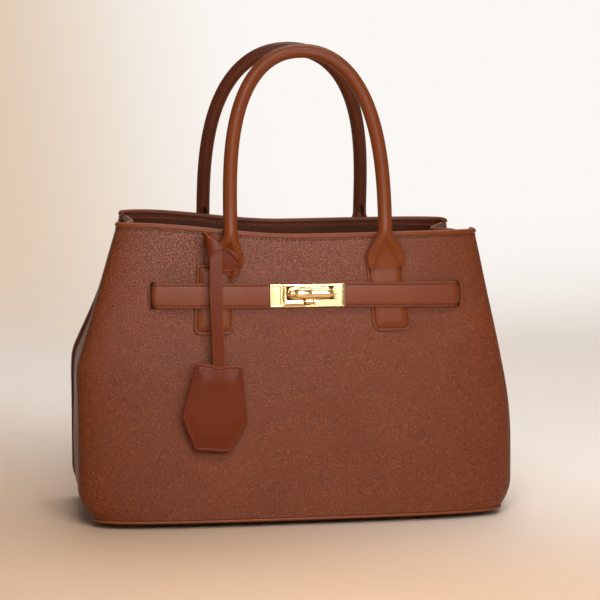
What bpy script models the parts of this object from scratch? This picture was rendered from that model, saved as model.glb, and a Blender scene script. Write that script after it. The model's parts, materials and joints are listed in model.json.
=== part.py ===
"""Structured tote bag in leather, standing on its base with both handles up.

The body is two panels, two side gussets that fold inward at the mouth, and a
stiffened base on four metal feet.  Two rolled handles flare out onto padded
tabs.  A belt in two halves crosses the front, comes out of two slits and is
closed by two metal plates over a turning toggle.  A bell-shaped leather tag
hangs from the left leg of the front handle.

X runs across the width, -Y is the front and +Z is up.  The origin is on the
floor under the middle of the base.  All sizes are in metres.
"""

import math

import bmesh
import bpy
import numpy as np
from mathutils import Matrix, Vector

# Fits
GAP = 0.0003                # air between two pieces that touch in the real bag

# Leather and boards
LEATHER = 0.0018            # pebbled leather of panels and gussets
FACING_THICKNESS = 0.0012
LINING_THICKNESS = 0.0008
BINDING_THICKNESS = 0.0010
BINDING_LEG = 0.0022        # how far the rim binding reaches down each side
BASE_PANEL_THICKNESS = 0.0020
BOARD_THICKNESS = 0.0025

# Body
BASE_WIDTH = 0.3464         # between the side seams, low down
RIM_HALF_LEFT = 0.1417      # middle of the mouth to the front panel's corners
RIM_HALF_RIGHT = 0.1443
BACK_DRAW_LEFT = 0.0085     # the back panel is this much narrower at the mouth
BACK_DRAW_RIGHT = 0.0066
BACK_DRAW_START = 0.42      # fraction of the height where that begins
BACK_DRAW_LENGTH = 0.35
LEFT_SLUMP = 0.0020         # the left side sags out this much more than the right
BASE_DEPTH = 0.1500         # front to back at the base
RIM_DEPTH = 0.1180          # front to back at the middle of the mouth
RIM_HEIGHT = 0.2270         # middle of the mouth above the floor
RIM_RISE_LEFT = 0.0100      # the mouth climbs towards its left corner
RIM_RISE_RIGHT = 0.0020
SHOULDER_LEFT = 0.49        # fraction of the height where the left side draws in
SHOULDER_RIGHT = 0.25
SHOULDER_SOFT_LEFT = 0.10   # share of the way over which the left side turns
SHOULDER_SOFT_RIGHT = 0.30
BOTTOM_TUCK_LEFT = 0.0085   # the sides tuck in by this much at the base
BOTTOM_TUCK_RIGHT = 0.0080
BOTTOM_TUCK_HEIGHT = 0.0220
CORNER_POWER_BASE = 3.4     # higher is a squarer corner in plan
CORNER_POWER_RIM = 2.7

# Gussets
GUSSET_FLANK = 0.0410       # half of the gusset's leather, seam to centre line
GUSSET_FOLD_LEFT = math.radians(12.0)   # how far each half has folded in at the rim
GUSSET_FOLD_RIGHT = math.radians(33.0)
GUSSET_FOLD_START = 0.45    # fraction of the height where the fold begins
GUSSET_CREASE = 0.26        # roundness of the crease
CREASE_SHIFT = 0.30         # the crease lies this far forward of the middle
GUSSET_BULGE = 0.0025
GUSSET_DROP = 0.0020        # the gusset's edge lies this much below the rim
SEAM_LAP = 0.0060           # the panel laps this far over the gusset
FACING_HEIGHT = 0.0260
FACING_ROOM = 0.0042        # room between a folded gusset and the layer inside it

# Base
FOOT_HEIGHT = 0.0040
FOOT_RADIUS = 0.0060
FOOT_SHANK = 0.0016
FOOT_WASHER = 0.0046
FOOT_WASHER_THICKNESS = 0.0008
FOOT_INSET_X = 0.0305
FOOT_INSET_Y = 0.0290
PIPING_RADIUS = 0.0013

# Handles and their tabs.  Everything on the front is centred on FRONT_CENTRE.
FRONT_CENTRE = 0.0040
FRONT_SPREAD = 0.0605       # half the distance between a handle's legs
BACK_CENTRE = 0.0024        # centre line of the back handle and its tabs
BACK_SPREAD = 0.0657
HANDLE_RADIUS = 0.0055
HANDLE_LEATHER = 0.0016
HANDLE_RISE = 0.1385        # height of the arch, from just above the rim
HANDLE_LEAN = 0.0360        # how far the top leans in over the mouth
HANDLE_STAND = 0.0100       # centre line to panel where the handle passes the rim
HANDLE_FOOT_BELOW_RIM = 0.0250  # the flared foot's lower end
FOOT_SHIFT_LEFT = 0.0085    # the front handle's feet end this far outside its legs
FOOT_SHIFT_RIGHT = 0.0020
HANDLE_JOIN = 0.0040        # the arch begins this far above the rim
ARCH_ROUND_ACROSS = 2.2     # power of the arch's outline across the bag
ARCH_ROUND_UP = 3.0         # power of the arch's outline upwards
ARCH_LEAN_POWER = 1.3       # the lean grows faster towards the top
FLARE_HALF_WIDTH = 0.0150
FLARE_HALF_THICKNESS = 0.0020
FLARE_FLAT = 0.0090         # length of the full-width part of the foot
FLARE_LENGTH = 0.0310       # from the foot's end to the full roll
FLARE_CORNER_IN = 0.0025    # the foot's last corners draw in by this much
FLARE_CORNER_LENGTH = 0.0040
TAB_LEFT_X = -0.0713        # tops of the front tabs, from the centre line
TAB_RIGHT_X = 0.0600
TAB_SPREAD = 0.0665         # the back tabs, from their own centre line
TAB_HALF_WIDTH = 0.0155
TAB_TAPER = 0.0012          # each side of a tab draws in by this much at its top
TAB_TOP_BELOW_RIM = 0.0140
TAB_LENGTH = 0.0610
TAB_CORNER = 0.0060
TAB_LEAN_LEFT = 0.037       # the front tabs spread downwards, as a slope
TAB_LEAN_RIGHT = 0.130
TAB_THICKNESS = 0.0020
TAB_PADDING = 0.0008        # extra thickness in the middle of the tab

# Belt
BELT_BELOW_RIM = 0.0455     # the belt's middle
BELT_HEIGHT = 0.0195
BELT_THICKNESS = 0.0030
BELT_SLIT_X = 0.1197        # belt slits, from the front's centre line
BELT_BEND = 0.0045          # radius of the belt's turn into a slit
SLIT_CLEARANCE = 0.0006
BELT_HINGE_X = 0.1122       # where the right half flexes when it is opened
BELT_DIP_START = 0.0380     # the left half sinks towards its plate here
BELT_DIP_END = 0.0480
BELT_RUN_STEP = 0.0080      # spacing of the points along a belt's level run
WELT_WIDTH = 0.0024
WELT_THICKNESS = 0.0012
WELT_OVERHANG = 0.0012

# Clasp
PLATE_HEIGHT = 0.0177
PLATE_LEFT_THICKNESS = 0.0014
PLATE_RIGHT_THICKNESS = 0.0016
PLATE_LEFT_START = -0.0315
PLATE_RIGHT_START = -0.0219
PLATE_RIGHT_END = 0.0300
CLAMP_WALL = 0.0009
CLAMP_DEPTH = 0.0065        # length of belt gripped inside each plate
BAR_LENGTH = 0.0380
BAR_RADIUS = 0.0046
BAR_RISE = 0.0020           # the bar turns this much above the plates' middle
KNOB_RADIUS = 0.0026        # small knob fused under the middle of the bar
KNOB_LENGTH = 0.0070
KNOB_DROP = 0.0062          # knob's centre line below the bar's
BAR_BUTTON_LENGTH = 0.0035  # the small button at the bar's left end
BAR_BUTTON_RADIUS = 0.0032
BAR_NECK_RADIUS = 0.0028
BAR_CHAMFER = 0.0010
SLOT_CLEARANCE = 0.0006
STEM_RADIUS = 0.0016
POST_RADIUS = 0.0034
POST_SHANK = 0.0022
POST_FLANGE_LENGTH = 0.0200
POST_FLANGE_WIDTH = 0.0110
POST_FLANGE_THICKNESS = 0.0010
BACKING_RADIUS = 0.0080
BACKING_THICKNESS = 0.0010
RUNNING_CLEARANCE = 0.0001

# Tag
TAG_BAND = 0.0095
TAG_LEATHER = 0.0012
TAG_LOOP_ABOVE_RIM = 0.0015
TAG_LOOP_TILT = math.radians(15.0)
TAG_LOOP_HALF_WIDTH = 0.0137
TAG_KNOT_LENGTH = 0.0280
TAG_KNOT_THICKNESS = 0.0013
TAG_KNOT_TILT = math.radians(36.0)
TAG_KNOT_DROP = 0.0085      # knot centre below the loop's centre
TAG_KNOT_SHIFT = 0.0020     # knot centre to the left of the leg's centre line
TAG_KNOT_SOFTNESS = 0.0007
TAG_STRAP_X = -0.0705       # strap centre from the front's centre line
TAG_STRAP_BELOW_RIM = 0.0045    # the strap's upper end
TAG_STRAP_LENGTH = 0.1045
TAG_STRAP_SOFTNESS = 0.0004
TAG_PIVOT_DROP = 0.0040     # the strap bends this far below its upper end
TAG_CLEARANCE = 0.0010      # between the hanging tag and the front behind it
TAG_LEAN = math.radians(5.1)
TAG_LEAF_GRIP = 0.0130      # the leaves reach this far up over the strap's end
TAG_LEAF_HALF_TOP = 0.0175
TAG_LEAF_HALF_WIDE = 0.0255
TAG_LEAF_HALF_END = 0.0130
TAG_LEAF_SHOULDER = 0.0430  # from the leaf's top to its widest line
TAG_LEAF_LENGTH = 0.0680
TAG_INSERT_MARGIN = 0.0040

# Sizes of cutters, which only have to reach right through what they cut
CUT_REACH = 0.0060

# Rows of points up the walls, as fractions of the height
LOW_ROWS_TOP = 0.12         # rows lie closer together below this
ROW_APART = 0.02            # least distance between two rows of a gusset

# Heights and offsets that follow from the sizes above
BELT_Z = RIM_HEIGHT - BELT_BELOW_RIM
HANDLE_FOOT_HEIGHT = RIM_HEIGHT - HANDLE_FOOT_BELOW_RIM
TAB_TOP = RIM_HEIGHT - TAB_TOP_BELOW_RIM
TAB_BOTTOM = TAB_TOP - TAB_LENGTH
TAG_LOOP_Z = RIM_HEIGHT + TAG_LOOP_ABOVE_RIM
TAG_STRAP_TOP = RIM_HEIGHT - TAG_STRAP_BELOW_RIM
TAG_STRAP_END = TAG_STRAP_TOP - TAG_STRAP_LENGTH
TAG_LEAF_TOP = TAG_STRAP_END + TAG_LEAF_GRIP
BASE_PANEL_Z = FOOT_HEIGHT + GAP
PIPING_Z = BASE_PANEL_Z + BASE_PANEL_THICKNESS
WALL_BOTTOM = PIPING_Z + PIPING_RADIUS + GAP
BOARD_Z = BASE_PANEL_Z + BASE_PANEL_THICKNESS + GAP
WASHER_Z = BOARD_Z + BOARD_THICKNESS + GAP
LINING_FLOOR = WASHER_Z + FOOT_WASHER_THICKNESS + GAP
TAB_OUTER = GAP + TAB_THICKNESS + TAB_PADDING
BELT_OVER_TABS = TAB_OUTER + GAP + BELT_THICKNESS / 2
LIP_LEFT_INNER = 2 * GAP
LIP_LEFT_OUTER = LIP_LEFT_INNER + CLAMP_WALL
BELT_AT_PLATE = LIP_LEFT_OUTER + GAP + BELT_THICKNESS / 2
PLATE_LEFT_INNER = BELT_AT_PLATE + BELT_THICKNESS / 2 + GAP
PLATE_LEFT_OUTER = PLATE_LEFT_INNER + PLATE_LEFT_THICKNESS
PLATE_RIGHT_INNER = max(PLATE_LEFT_OUTER, BELT_OVER_TABS + BELT_THICKNESS / 2) + GAP
PLATE_RIGHT_OUTER = PLATE_RIGHT_INNER + PLATE_RIGHT_THICKNESS
PLATE_RIGHT_WEB = PLATE_RIGHT_END - CLAMP_DEPTH - 2 * GAP
PLATE_LEFT_END = PLATE_RIGHT_WEB - CLAMP_WALL - GAP
BAR_OFFSET = PLATE_RIGHT_OUTER + GAP + BAR_RADIUS
POST_TOP = PLATE_RIGHT_OUTER - GAP
SLOT_LENGTH = BAR_LENGTH + 2 * SLOT_CLEARANCE
SLOT_WIDTH = 2 * (BAR_RADIUS + SLOT_CLEARANCE)
NOTCH_WIDTH = KNOB_LENGTH + 2 * SLOT_CLEARANCE
NOTCH_DEPTH = KNOB_DROP + KNOB_RADIUS + SLOT_CLEARANCE
KNOB_INSET = BAR_RADIUS - KNOB_RADIUS
LINING_INSET = LEATHER + GAP + BACKING_THICKNESS + 3 * GAP
FRONT = -1
BACK = 1

# Finishes: colour, roughness, metallic
PEBBLED = ("pebbled_leather", (0.27, 0.095, 0.048), 0.55, 0.0)
SMOOTH = ("smooth_leather", (0.25, 0.085, 0.045), 0.42, 0.0)
TAG_BROWN = ("tag_leather", (0.19, 0.040, 0.010), 0.40, 0.0)
SUEDE = ("lining_suede", (0.085, 0.030, 0.014), 0.90, 0.0)
GOLD = ("gold_plate", (0.80, 0.57, 0.22), 0.16, 1.0)
BOARD = ("grey_board", (0.17, 0.15, 0.13), 0.85, 0.0)
CORD = ("handle_cord", (0.46, 0.39, 0.28), 0.90, 0.0)


def clear_scene():
    """Remove every object that the scene starts with."""
    for old in list(bpy.data.objects):
        bpy.data.objects.remove(old, do_unlink=True)


def new_collection(name):
    """Make a collection under the scene."""
    group = bpy.data.collections.new(name)
    bpy.context.scene.collection.children.link(group)
    return group


def new_material(name, finish):
    """Give a part its own Principled material from a finish."""
    kind, colour, roughness, metallic = finish
    material = bpy.data.materials.new(name + "_" + kind)
    material.use_nodes = True
    shader = material.node_tree.nodes["Principled BSDF"]
    shader.inputs["Base Color"].default_value = (*colour, 1.0)
    shader.inputs["Roughness"].default_value = roughness
    shader.inputs["Metallic"].default_value = metallic
    return material


def new_part(name, mesh, finish, group, origin=(0.0, 0.0, 0.0)):
    """Link a mesh as a named part, moving its origin to the given point."""
    mesh.transform(Matrix.Translation(-Vector(origin)))
    mesh.materials.clear()
    mesh.materials.append(new_material(name, finish))
    part = bpy.data.objects.new(name, mesh)
    part.location = origin
    group.objects.link(part)
    mesh.shade_smooth()
    mesh.set_sharp_from_angle(angle=math.radians(35.0))
    return part


def new_cutter(name, mesh, group):
    """Link a mesh as a wire cutter that doesn't render."""
    cutter = bpy.data.objects.new(name, mesh)
    cutter.hide_render = True
    cutter.display_type = "WIRE"
    group.objects.link(cutter)
    return cutter


def cut(part, cutter, operation="DIFFERENCE"):
    """Add a Boolean modifier to a part."""
    modifier = part.modifiers.new("cut_" + cutter.name, "BOOLEAN")
    modifier.operation = operation
    modifier.object = cutter


def mesh_from(name, points, faces):
    """Build a mesh whose faces all point out."""
    mesh = bpy.data.meshes.new(name)
    mesh.from_pydata([tuple(map(float, p)) for p in points], [], faces)
    mesh.update()
    return mesh


def close_faces(mesh):
    """Turn all faces of a closed mesh outward."""
    work = bmesh.new()
    work.from_mesh(mesh)
    bmesh.ops.recalc_face_normals(work, faces=work.faces)
    work.to_mesh(mesh)
    work.free()
    return mesh


def grid_faces(rows, columns, start=0, wrap=False):
    """Quads of a grid of points; wrap joins the last column to the first."""
    faces = []
    last = columns if wrap else columns - 1
    for r in range(rows - 1):
        for c in range(last):
            a = start + r * columns + c
            b = start + r * columns + (c + 1) % columns
            faces.append((a, b, b + columns, a + columns))
    return faces


def slab_mesh(name, outer, inner):
    """Closed solid between two matching grids of points."""
    rows, columns = outer.shape[:2]
    count = rows * columns
    points = np.concatenate([outer.reshape(-1, 3), inner.reshape(-1, 3)])
    faces = grid_faces(rows, columns) + grid_faces(rows, columns, count)
    border = [c for c in range(columns)]
    border += [r * columns + columns - 1 for r in range(1, rows)]
    border += [(rows - 1) * columns + c for c in range(columns - 2, -1, -1)]
    border += [r * columns for r in range(rows - 2, 0, -1)]
    for a, b in zip(border, border[1:] + border[:1]):
        faces.append((a, b, b + count, a + count))
    return close_faces(mesh_from(name, points, faces))


def loft_mesh(name, rings, closed=False):
    """Closed solid through rings of points; an open run gets flat ends."""
    stations, sides = rings.shape[:2]
    points = rings.reshape(-1, 3)
    faces = grid_faces(stations, sides, wrap=True)
    if closed:
        last = (stations - 1) * sides
        for c in range(sides):
            d = (c + 1) % sides
            faces.append((last + c, last + d, d, c))
    else:
        faces.append(tuple(range(sides)))
        faces.append(tuple(range((stations - 1) * sides, stations * sides)))
    return close_faces(mesh_from(name, points, faces))


def pipe_mesh(name, outer, inner):
    """Hollow run between an outer and an inner set of rings, open at both ends."""
    stations, sides = outer.shape[:2]
    count = stations * sides
    points = np.concatenate([outer.reshape(-1, 3), inner.reshape(-1, 3)])
    faces = grid_faces(stations, sides, wrap=True)
    faces += grid_faces(stations, sides, count, wrap=True)
    for base in (0, (stations - 1) * sides):
        for c in range(sides):
            d = (c + 1) % sides
            faces.append((base + c, base + d, count + base + d, count + base + c))
    return close_faces(mesh_from(name, points, faces))


def plate_mesh(name, outline, bottom, top):
    """Flat plate with the given outline in XY."""
    count = len(outline)
    low = [(x, y, bottom) for x, y in outline]
    high = [(x, y, top) for x, y in outline]
    faces = [tuple(range(count)), tuple(range(count, 2 * count))]
    for a in range(count):
        b = (a + 1) % count
        faces.append((a, b, count + b, count + a))
    return close_faces(mesh_from(name, low + high, faces))


def disc_mesh(name, radius, bottom, top, segments=14):
    """Upright cylinder on the Z axis."""
    mesh = bpy.data.meshes.new(name)
    work = bmesh.new()
    place = Matrix.Translation((0.0, 0.0, (bottom + top) / 2))
    bmesh.ops.create_cone(work, cap_ends=True, segments=segments, radius1=radius,
                          radius2=radius, depth=top - bottom, matrix=place)
    work.to_mesh(mesh)
    work.free()
    return mesh


def box_mesh(name, low, high):
    """Box between two corners."""
    mesh = bpy.data.meshes.new(name)
    work = bmesh.new()
    size = [b - a for a, b in zip(low, high)]
    centre = [(a + b) / 2 for a, b in zip(low, high)]
    place = Matrix.Translation(centre) @ Matrix.Diagonal((*size, 1.0))
    bmesh.ops.create_cube(work, size=1.0, matrix=place)
    work.to_mesh(mesh)
    work.free()
    return mesh


def soft_ramp(fraction, soft=0.30):
    """Zero below 0, then an easy start that runs into a straight line up to 1."""
    q = np.clip(fraction, 0.0, None)
    rise = np.where(q < soft, q * q / (2 * soft), q - soft / 2)
    return rise / (1 - soft / 2)


def smooth_step(fraction):
    """Ease from 0 to 1."""
    q = np.clip(fraction, 0.0, 1.0)
    return q * q * (3 - 2 * q)


def unit(vectors):
    """Scale vectors to length one."""
    return vectors / np.linalg.norm(vectors, axis=-1, keepdims=True)


def rim_height(across):
    """Height of the mouth at a fraction -1..1 across the bag."""
    n = smooth_step(np.abs(across))
    rise = np.where(np.asarray(across) < 0, RIM_RISE_LEFT, RIM_RISE_RIGHT)
    return RIM_HEIGHT + rise * n


def half_width(up, side, back=0.0):
    """Half width of the body at a fraction of its height.

    The side is -1 or 1.  The share back is 0 on the front panel, 1 on the back panel
    and in between on the gussets.
    """
    left = np.asarray(side) < 0
    start = np.where(left, SHOULDER_LEFT, SHOULDER_RIGHT)
    soft = np.where(left, SHOULDER_SOFT_LEFT, SHOULDER_SOFT_RIGHT)
    rim = np.where(left, RIM_HALF_LEFT, RIM_HALF_RIGHT)
    base = BASE_WIDTH / 2 + np.where(left, LEFT_SLUMP, -LEFT_SLUMP)
    width = base - (base - rim) * soft_ramp((up - start) / (1 - start), soft)
    above = np.asarray(up) * (RIM_HEIGHT - WALL_BOTTOM)
    tuck = np.clip(1 - above / BOTTOM_TUCK_HEIGHT, 0.0, 1.0)
    width = width - np.where(left, BOTTOM_TUCK_LEFT, BOTTOM_TUCK_RIGHT) * tuck ** 2
    draw = np.where(left, BACK_DRAW_LEFT, BACK_DRAW_RIGHT)
    return width - draw * smooth_step((up - BACK_DRAW_START) / BACK_DRAW_LENGTH) * back


def back_share(y, half):
    """Share of the way from the front seam to the back one, eased at both."""
    return smooth_step((np.asarray(y) / half + 1) / 2)


def gusset_angle(up, side):
    """How far a gusset's half has folded in."""
    fold = np.where(np.asarray(side) < 0, GUSSET_FOLD_LEFT, GUSSET_FOLD_RIGHT)
    return fold * soft_ramp((up - GUSSET_FOLD_START) / (1 - GUSSET_FOLD_START))


def fold_half_depth(up, side):
    """Half of the gusset's opening, between the edges of the two panels."""
    return GUSSET_FLANK * np.cos(gusset_angle(up, side))


def fold_reach(up, side):
    """How far the crease lies inside the seams."""
    return GUSSET_FLANK * np.sin(gusset_angle(up, side))


def crease(q):
    """Shape of the fold: 1 at the crease, 0 at the seams."""
    q = np.clip(q, -1.0, 1.0)
    q = q + CREASE_SHIFT * (1 - q * q)
    far = math.sqrt(1 + GUSSET_CREASE ** 2)
    return (far - np.sqrt(q ** 2 + GUSSET_CREASE ** 2)) / (far - GUSSET_CREASE)


def mid_depth(up):
    """Half depth of the body at its middle."""
    return BASE_DEPTH / 2 + (RIM_DEPTH - BASE_DEPTH) / 2 * np.asarray(up)


def corner_power(up):
    """Squareness of the plan's corners."""
    return CORNER_POWER_BASE + (CORNER_POWER_RIM - CORNER_POWER_BASE) * np.asarray(up)


def wall_point(x, z, face):
    """Point on the outer face of the front or back panel above a given x."""
    x, z = np.broadcast_arrays(np.asarray(x, float), np.asarray(z, float))
    up = np.full(x.shape, 0.5)
    for _ in range(6):
        width = half_width(up, np.sign(x), face > 0)
        across = np.clip(x / width, -1.0, 1.0)
        up = (z - WALL_BOTTOM) / (rim_height(across) - WALL_BOTTOM)
    power = corner_power(up)
    corner = fold_half_depth(up, np.sign(x)) + SEAM_LAP
    round_off = (1 - np.abs(across) ** power) ** (1 / power)
    depth = corner + (mid_depth(up) - corner) * round_off
    return np.stack([x, face * depth, z], axis=-1)


def wall_normal(x, z, face):
    """Outward direction of the panel's outer face."""
    step = 0.0005
    along = wall_point(x + step, z, face) - wall_point(x - step, z, face)
    rise = wall_point(x, z + step, face) - wall_point(x, z - step, face)
    return unit(np.cross(along, rise) * -face)


def off_wall(x, z, face, offset):
    """Point at a distance from the panel's outer face."""
    x, z, offset = np.broadcast_arrays(x, z, offset)
    return wall_point(x, z, face) + wall_normal(x, z, face) * offset[..., None]


def resample(points, fractions):
    """Points at fractions of the length of a line."""
    steps = np.linalg.norm(np.diff(points, axis=0), axis=1)
    length = np.concatenate([[0.0], np.cumsum(steps)])
    at = np.asarray(fractions) * length[-1]
    return np.stack([np.interp(at, length, points[:, k])
                     for k in range(points.shape[1])], axis=-1)


def plan_half(widths, corners, middle, power, steps=240):
    """Plan of one panel between its corners, left to right: x and depth."""
    turn = np.linspace(0.0, math.pi, steps)
    across = -np.sign(np.cos(turn)) * np.abs(np.cos(turn)) ** (2 / power)
    corner = np.where(across < 0, corners[0], corners[1])
    depth = corner + (middle - corner) * np.abs(np.sin(turn)) ** (2 / power)
    x = across * np.where(across < 0, widths[0], widths[1])
    return np.stack([x, depth], axis=-1)


def column_fractions(count, ease=0.55):
    """Fractions 0..1 that lie closer together towards both ends."""
    even = np.linspace(0.0, 1.0, count)
    eased = 0.5 - 0.5 * np.cos(math.pi * even)
    return (1 - ease) * even + ease * eased


def panel_grid(face, rows, columns):
    """Outer face of the front or back panel as rows of points, bottom to top."""
    grid = []
    for up in rows:
        widths = [float(half_width(up, side, face > 0)) for side in (-1, 1)]
        corners = [float(fold_half_depth(up, side)) + SEAM_LAP for side in (-1, 1)]
        line = plan_half(widths, corners, float(mid_depth(up)), float(corner_power(up)))
        line = resample(line, column_fractions(columns - 2))
        first = [[-widths[0], corners[0] - SEAM_LAP]]
        last = [[widths[1], corners[1] - SEAM_LAP]]
        line = np.concatenate([first, line, last])
        across = line[:, 0] / np.where(line[:, 0] < 0, widths[0], widths[1])
        z = WALL_BOTTOM + up * (rim_height(across) - WALL_BOTTOM)
        grid.append(np.stack([line[:, 0], face * line[:, 1], z], axis=-1))
    return np.array(grid)


def sheet_part(name, grid, thickness, finish, group, flip=False, wrap=False):
    """Leather sheet: an open surface with Solidify growing inward."""
    rows, columns = grid.shape[:2]
    faces = grid_faces(rows, columns, wrap=wrap)
    if flip:
        faces = [tuple(reversed(face)) for face in faces]
    mesh = mesh_from(name, grid.reshape(-1, 3), faces)
    part = new_part(name, mesh, finish, group)
    thicken = part.modifiers.new("thickness", "SOLIDIFY")
    thicken.thickness = thickness
    thicken.offset = -1.0
    thicken.use_even_offset = True
    return part


def body_rows():
    """Fractions of the height at which the panels have points."""
    low = np.linspace(0.0, LOW_ROWS_TOP, 3)
    high = np.linspace(LOW_ROWS_TOP, 1.0, 10)[1:]
    return np.concatenate([low, high])


def make_panels(parts, cutters):
    """Front panel with its belt slits and clasp hole, and plain back panel."""
    grid = panel_grid(FRONT, body_rows(), 35)
    front = sheet_part("front_panel", grid, LEATHER, PEBBLED, parts)
    for side, word in ((-1, "left"), (1, "right")):
        half = Vector((BELT_THICKNESS / 2, BELT_HEIGHT / 2, CUT_REACH))
        half = half + Vector((SLIT_CLEARANCE, SLIT_CLEARANCE, 0.0))
        mesh = box_mesh("slit_" + word, -half, half)
        mesh.transform(wall_matrix(FRONT_CENTRE + side * BELT_SLIT_X, BELT_Z, FRONT))
        cut(front, new_cutter("slit_" + word, mesh, cutters))
    mesh = disc_mesh("clasp_hole", POST_SHANK + GAP, -CUT_REACH, CUT_REACH)
    mesh.transform(toggle_matrix())
    cut(front, new_cutter("clasp_hole", mesh, cutters))
    grid = panel_grid(BACK, body_rows(), 35)
    sheet_part("back_panel", grid, LEATHER, PEBBLED, parts, flip=True)


def wall_matrix(x, z, face):
    """Frame on a panel: local X across, local Y up the panel, local Z outward."""
    point = Vector(wall_point(x, z, face))
    out = Vector(wall_normal(x, z, face)).normalized()
    rise = (Vector((0.0, 0.0, 1.0)) - out * out.z).normalized()
    across = rise.cross(out)
    place = Matrix((across, rise, out)).transposed().to_4x4()
    place.translation = point
    return place


def toggle_matrix():
    """Frame in which the toggle and its post stand, above the plates' middle."""
    middle = wall_matrix(FRONT_CENTRE, BELT_Z, FRONT)
    return middle @ Matrix.Translation((0.0, BAR_RISE, 0.0))


def gusset_x(y, up, side):
    """Outer face of a gusset: x at a depth y, counted outward from the middle."""
    half = fold_half_depth(up, side)
    q = np.clip(y / half, -1.0, 1.0)
    bulge = GUSSET_BULGE * math.sin(math.pi * min(1.0, up / GUSSET_FOLD_START))
    width = half_width(up, side, back_share(y, half))
    return (width - LEATHER - GAP - fold_reach(up, side) * crease(q)
            + bulge * (1 - q * q) ** 2)


def gusset_rows(side):
    """Fractions of the height for a gusset, crowded where its lap is cut away."""
    height = float(rim_height(side)) - WALL_BOTTOM
    top = 1 - GUSSET_DROP / height
    cut_high = 1 - (BINDING_LEG + 2 * GAP) / height
    cut_low = cut_high - SEAM_LAP / height
    shared = [up for up in body_rows() if up < cut_low - ROW_APART]
    return np.concatenate([shared, [cut_low, cut_high, top]]), cut_low, cut_high


def gusset_edge(up, side, cut_low, cut_high):
    """Depth of the gusset's edge: lapped by the panel, cut clear at the rim."""
    share = np.clip((up - cut_low) / (cut_high - cut_low), 0.0, 1.0)
    lap = (SEAM_LAP - 2 * GAP) * (1 - share) - (LEATHER + 2 * GAP) * share
    return float(fold_half_depth(up, side)) + lap


def fold_fractions(count):
    """Fractions 0..1 that lie closer together around the crease."""
    even = np.linspace(-1.0, 1.0, count)
    return 0.5 + 0.5 * np.sign(even) * np.abs(even) ** 1.7


def gusset_grid(side):
    """Outer face of a side gusset as rows of points, bottom to top."""
    rows, cut_low, cut_high = gusset_rows(side)
    height = float(rim_height(side)) - WALL_BOTTOM
    grid = []
    for up in rows:
        edge = gusset_edge(up, side, cut_low, cut_high)
        y = np.linspace(-edge, edge, 161)
        line = np.stack([side * gusset_x(y, float(up), side), y], axis=-1)
        line = resample(line, fold_fractions(15))
        z = np.full(len(line), WALL_BOTTOM + up * height)
        grid.append(np.column_stack([line, z]))
    return np.array(grid)


def make_gusset(parts, side, word):
    """One side gusset, flat low down and folded inward at the mouth."""
    sheet_part(word + "_gusset", gusset_grid(side), LEATHER, PEBBLED, parts, flip=side < 0)


def binding_profile():
    """Section of a rim binding: a rounded cap with a leg each side of the edge."""
    inner = LEATHER / 2 + GAP
    outer = inner + BINDING_THICKNESS
    crown = GAP + BINDING_THICKNESS
    return np.array([
        (inner, -BINDING_LEG),
        (outer, -BINDING_LEG),
        (outer, GAP),
        (outer * 0.6, crown),
        (-outer * 0.6, crown),
        (-outer, GAP),
        (-outer, -BINDING_LEG),
        (-inner, -BINDING_LEG),
        (-inner, GAP),
        (inner, GAP),
    ])


def binding_mesh(name, edge, below, outward):
    """Binding along an edge line; below is the same line a little lower."""
    steps = unit(np.diff(edge, axis=0))
    before = np.concatenate([steps[:1], steps])
    after = np.concatenate([steps, steps[-1:]])
    along = unit(before + after)
    mitre = 1 / np.sqrt((1 + np.sum(before * after, axis=1, keepdims=True)) / 2)
    rise = edge - below
    rise = unit(rise - along * np.sum(rise * along, axis=1, keepdims=True))
    out = np.cross(along, rise) * mitre
    out = out * np.sign(np.sum(out * outward, axis=1, keepdims=True))
    centre = edge - out * (LEATHER / 2)
    profile = binding_profile()
    rings = (centre[:, None] + profile[None, :, :1] * out[:, None]
             + profile[None, :, 1:] * rise[:, None])
    return loft_mesh(name, rings)


def make_bindings(parts):
    """Rolled bindings on both panels' rims and on both gussets' edges."""
    for face, word in ((FRONT, "front"), (BACK, "back")):
        below, edge = panel_grid(face, [0.985, 1.0], 35)
        outward = edge * [1.0, 1.0, 0.0]
        mesh = binding_mesh(word + "_rim_binding", edge, below, outward)
        new_part(word + "_rim_binding", mesh, SMOOTH, parts)
    for side, word in ((-1, "left"), (1, "right")):
        below, edge = gusset_grid(side)[-2:, 1:-1]
        outward = np.tile([side * 1.0, 0.0, 0.0], (len(edge), 1))
        mesh = binding_mesh(word + "_gusset_binding", edge, below, outward)
        new_part(word + "_gusset_binding", mesh, SMOOTH, parts)


def side_inset(up, side):
    """Room that the gusset's leather takes from an inner ring's corner."""
    flank = math.cos(float(gusset_angle(up, side)))
    return LEATHER + GAP + (LEATHER + FACING_ROOM) / flank


def inner_widths(up, back):
    """Half widths of an inner ring, left and right, at a share of the way to the back."""
    return [half_width(up, side, back) - side_inset(up, side) for side in (-1, 1)]


def inner_ring(up, inset):
    """Closed plan of a layer inside the body, the given inset behind the panels."""
    halves = [float(fold_half_depth(up, side)) - GAP for side in (-1, 1)]
    power = float(corner_power(up))
    middle = float(mid_depth(up)) - inset
    runs = [resample(plan_half(inner_widths(up, back), halves, middle, power),
                     column_fractions(19, 0.7)) for back in (0.0, 1.0)]
    folds = []
    for k, side in ((1, 1), (0, -1)):
        y = side * halves[k] * (2 * fold_fractions(13)[1:-1] - 1)
        share = back_share(y, halves[k])
        x = inner_widths(up, share)[k] - float(fold_reach(up, side)) * crease(y / halves[k])
        folds.append(np.stack([side * x, y], axis=-1))
    return np.concatenate([runs[0] * [1.0, -1.0], folds[0], runs[1][::-1], folds[1]])


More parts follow.
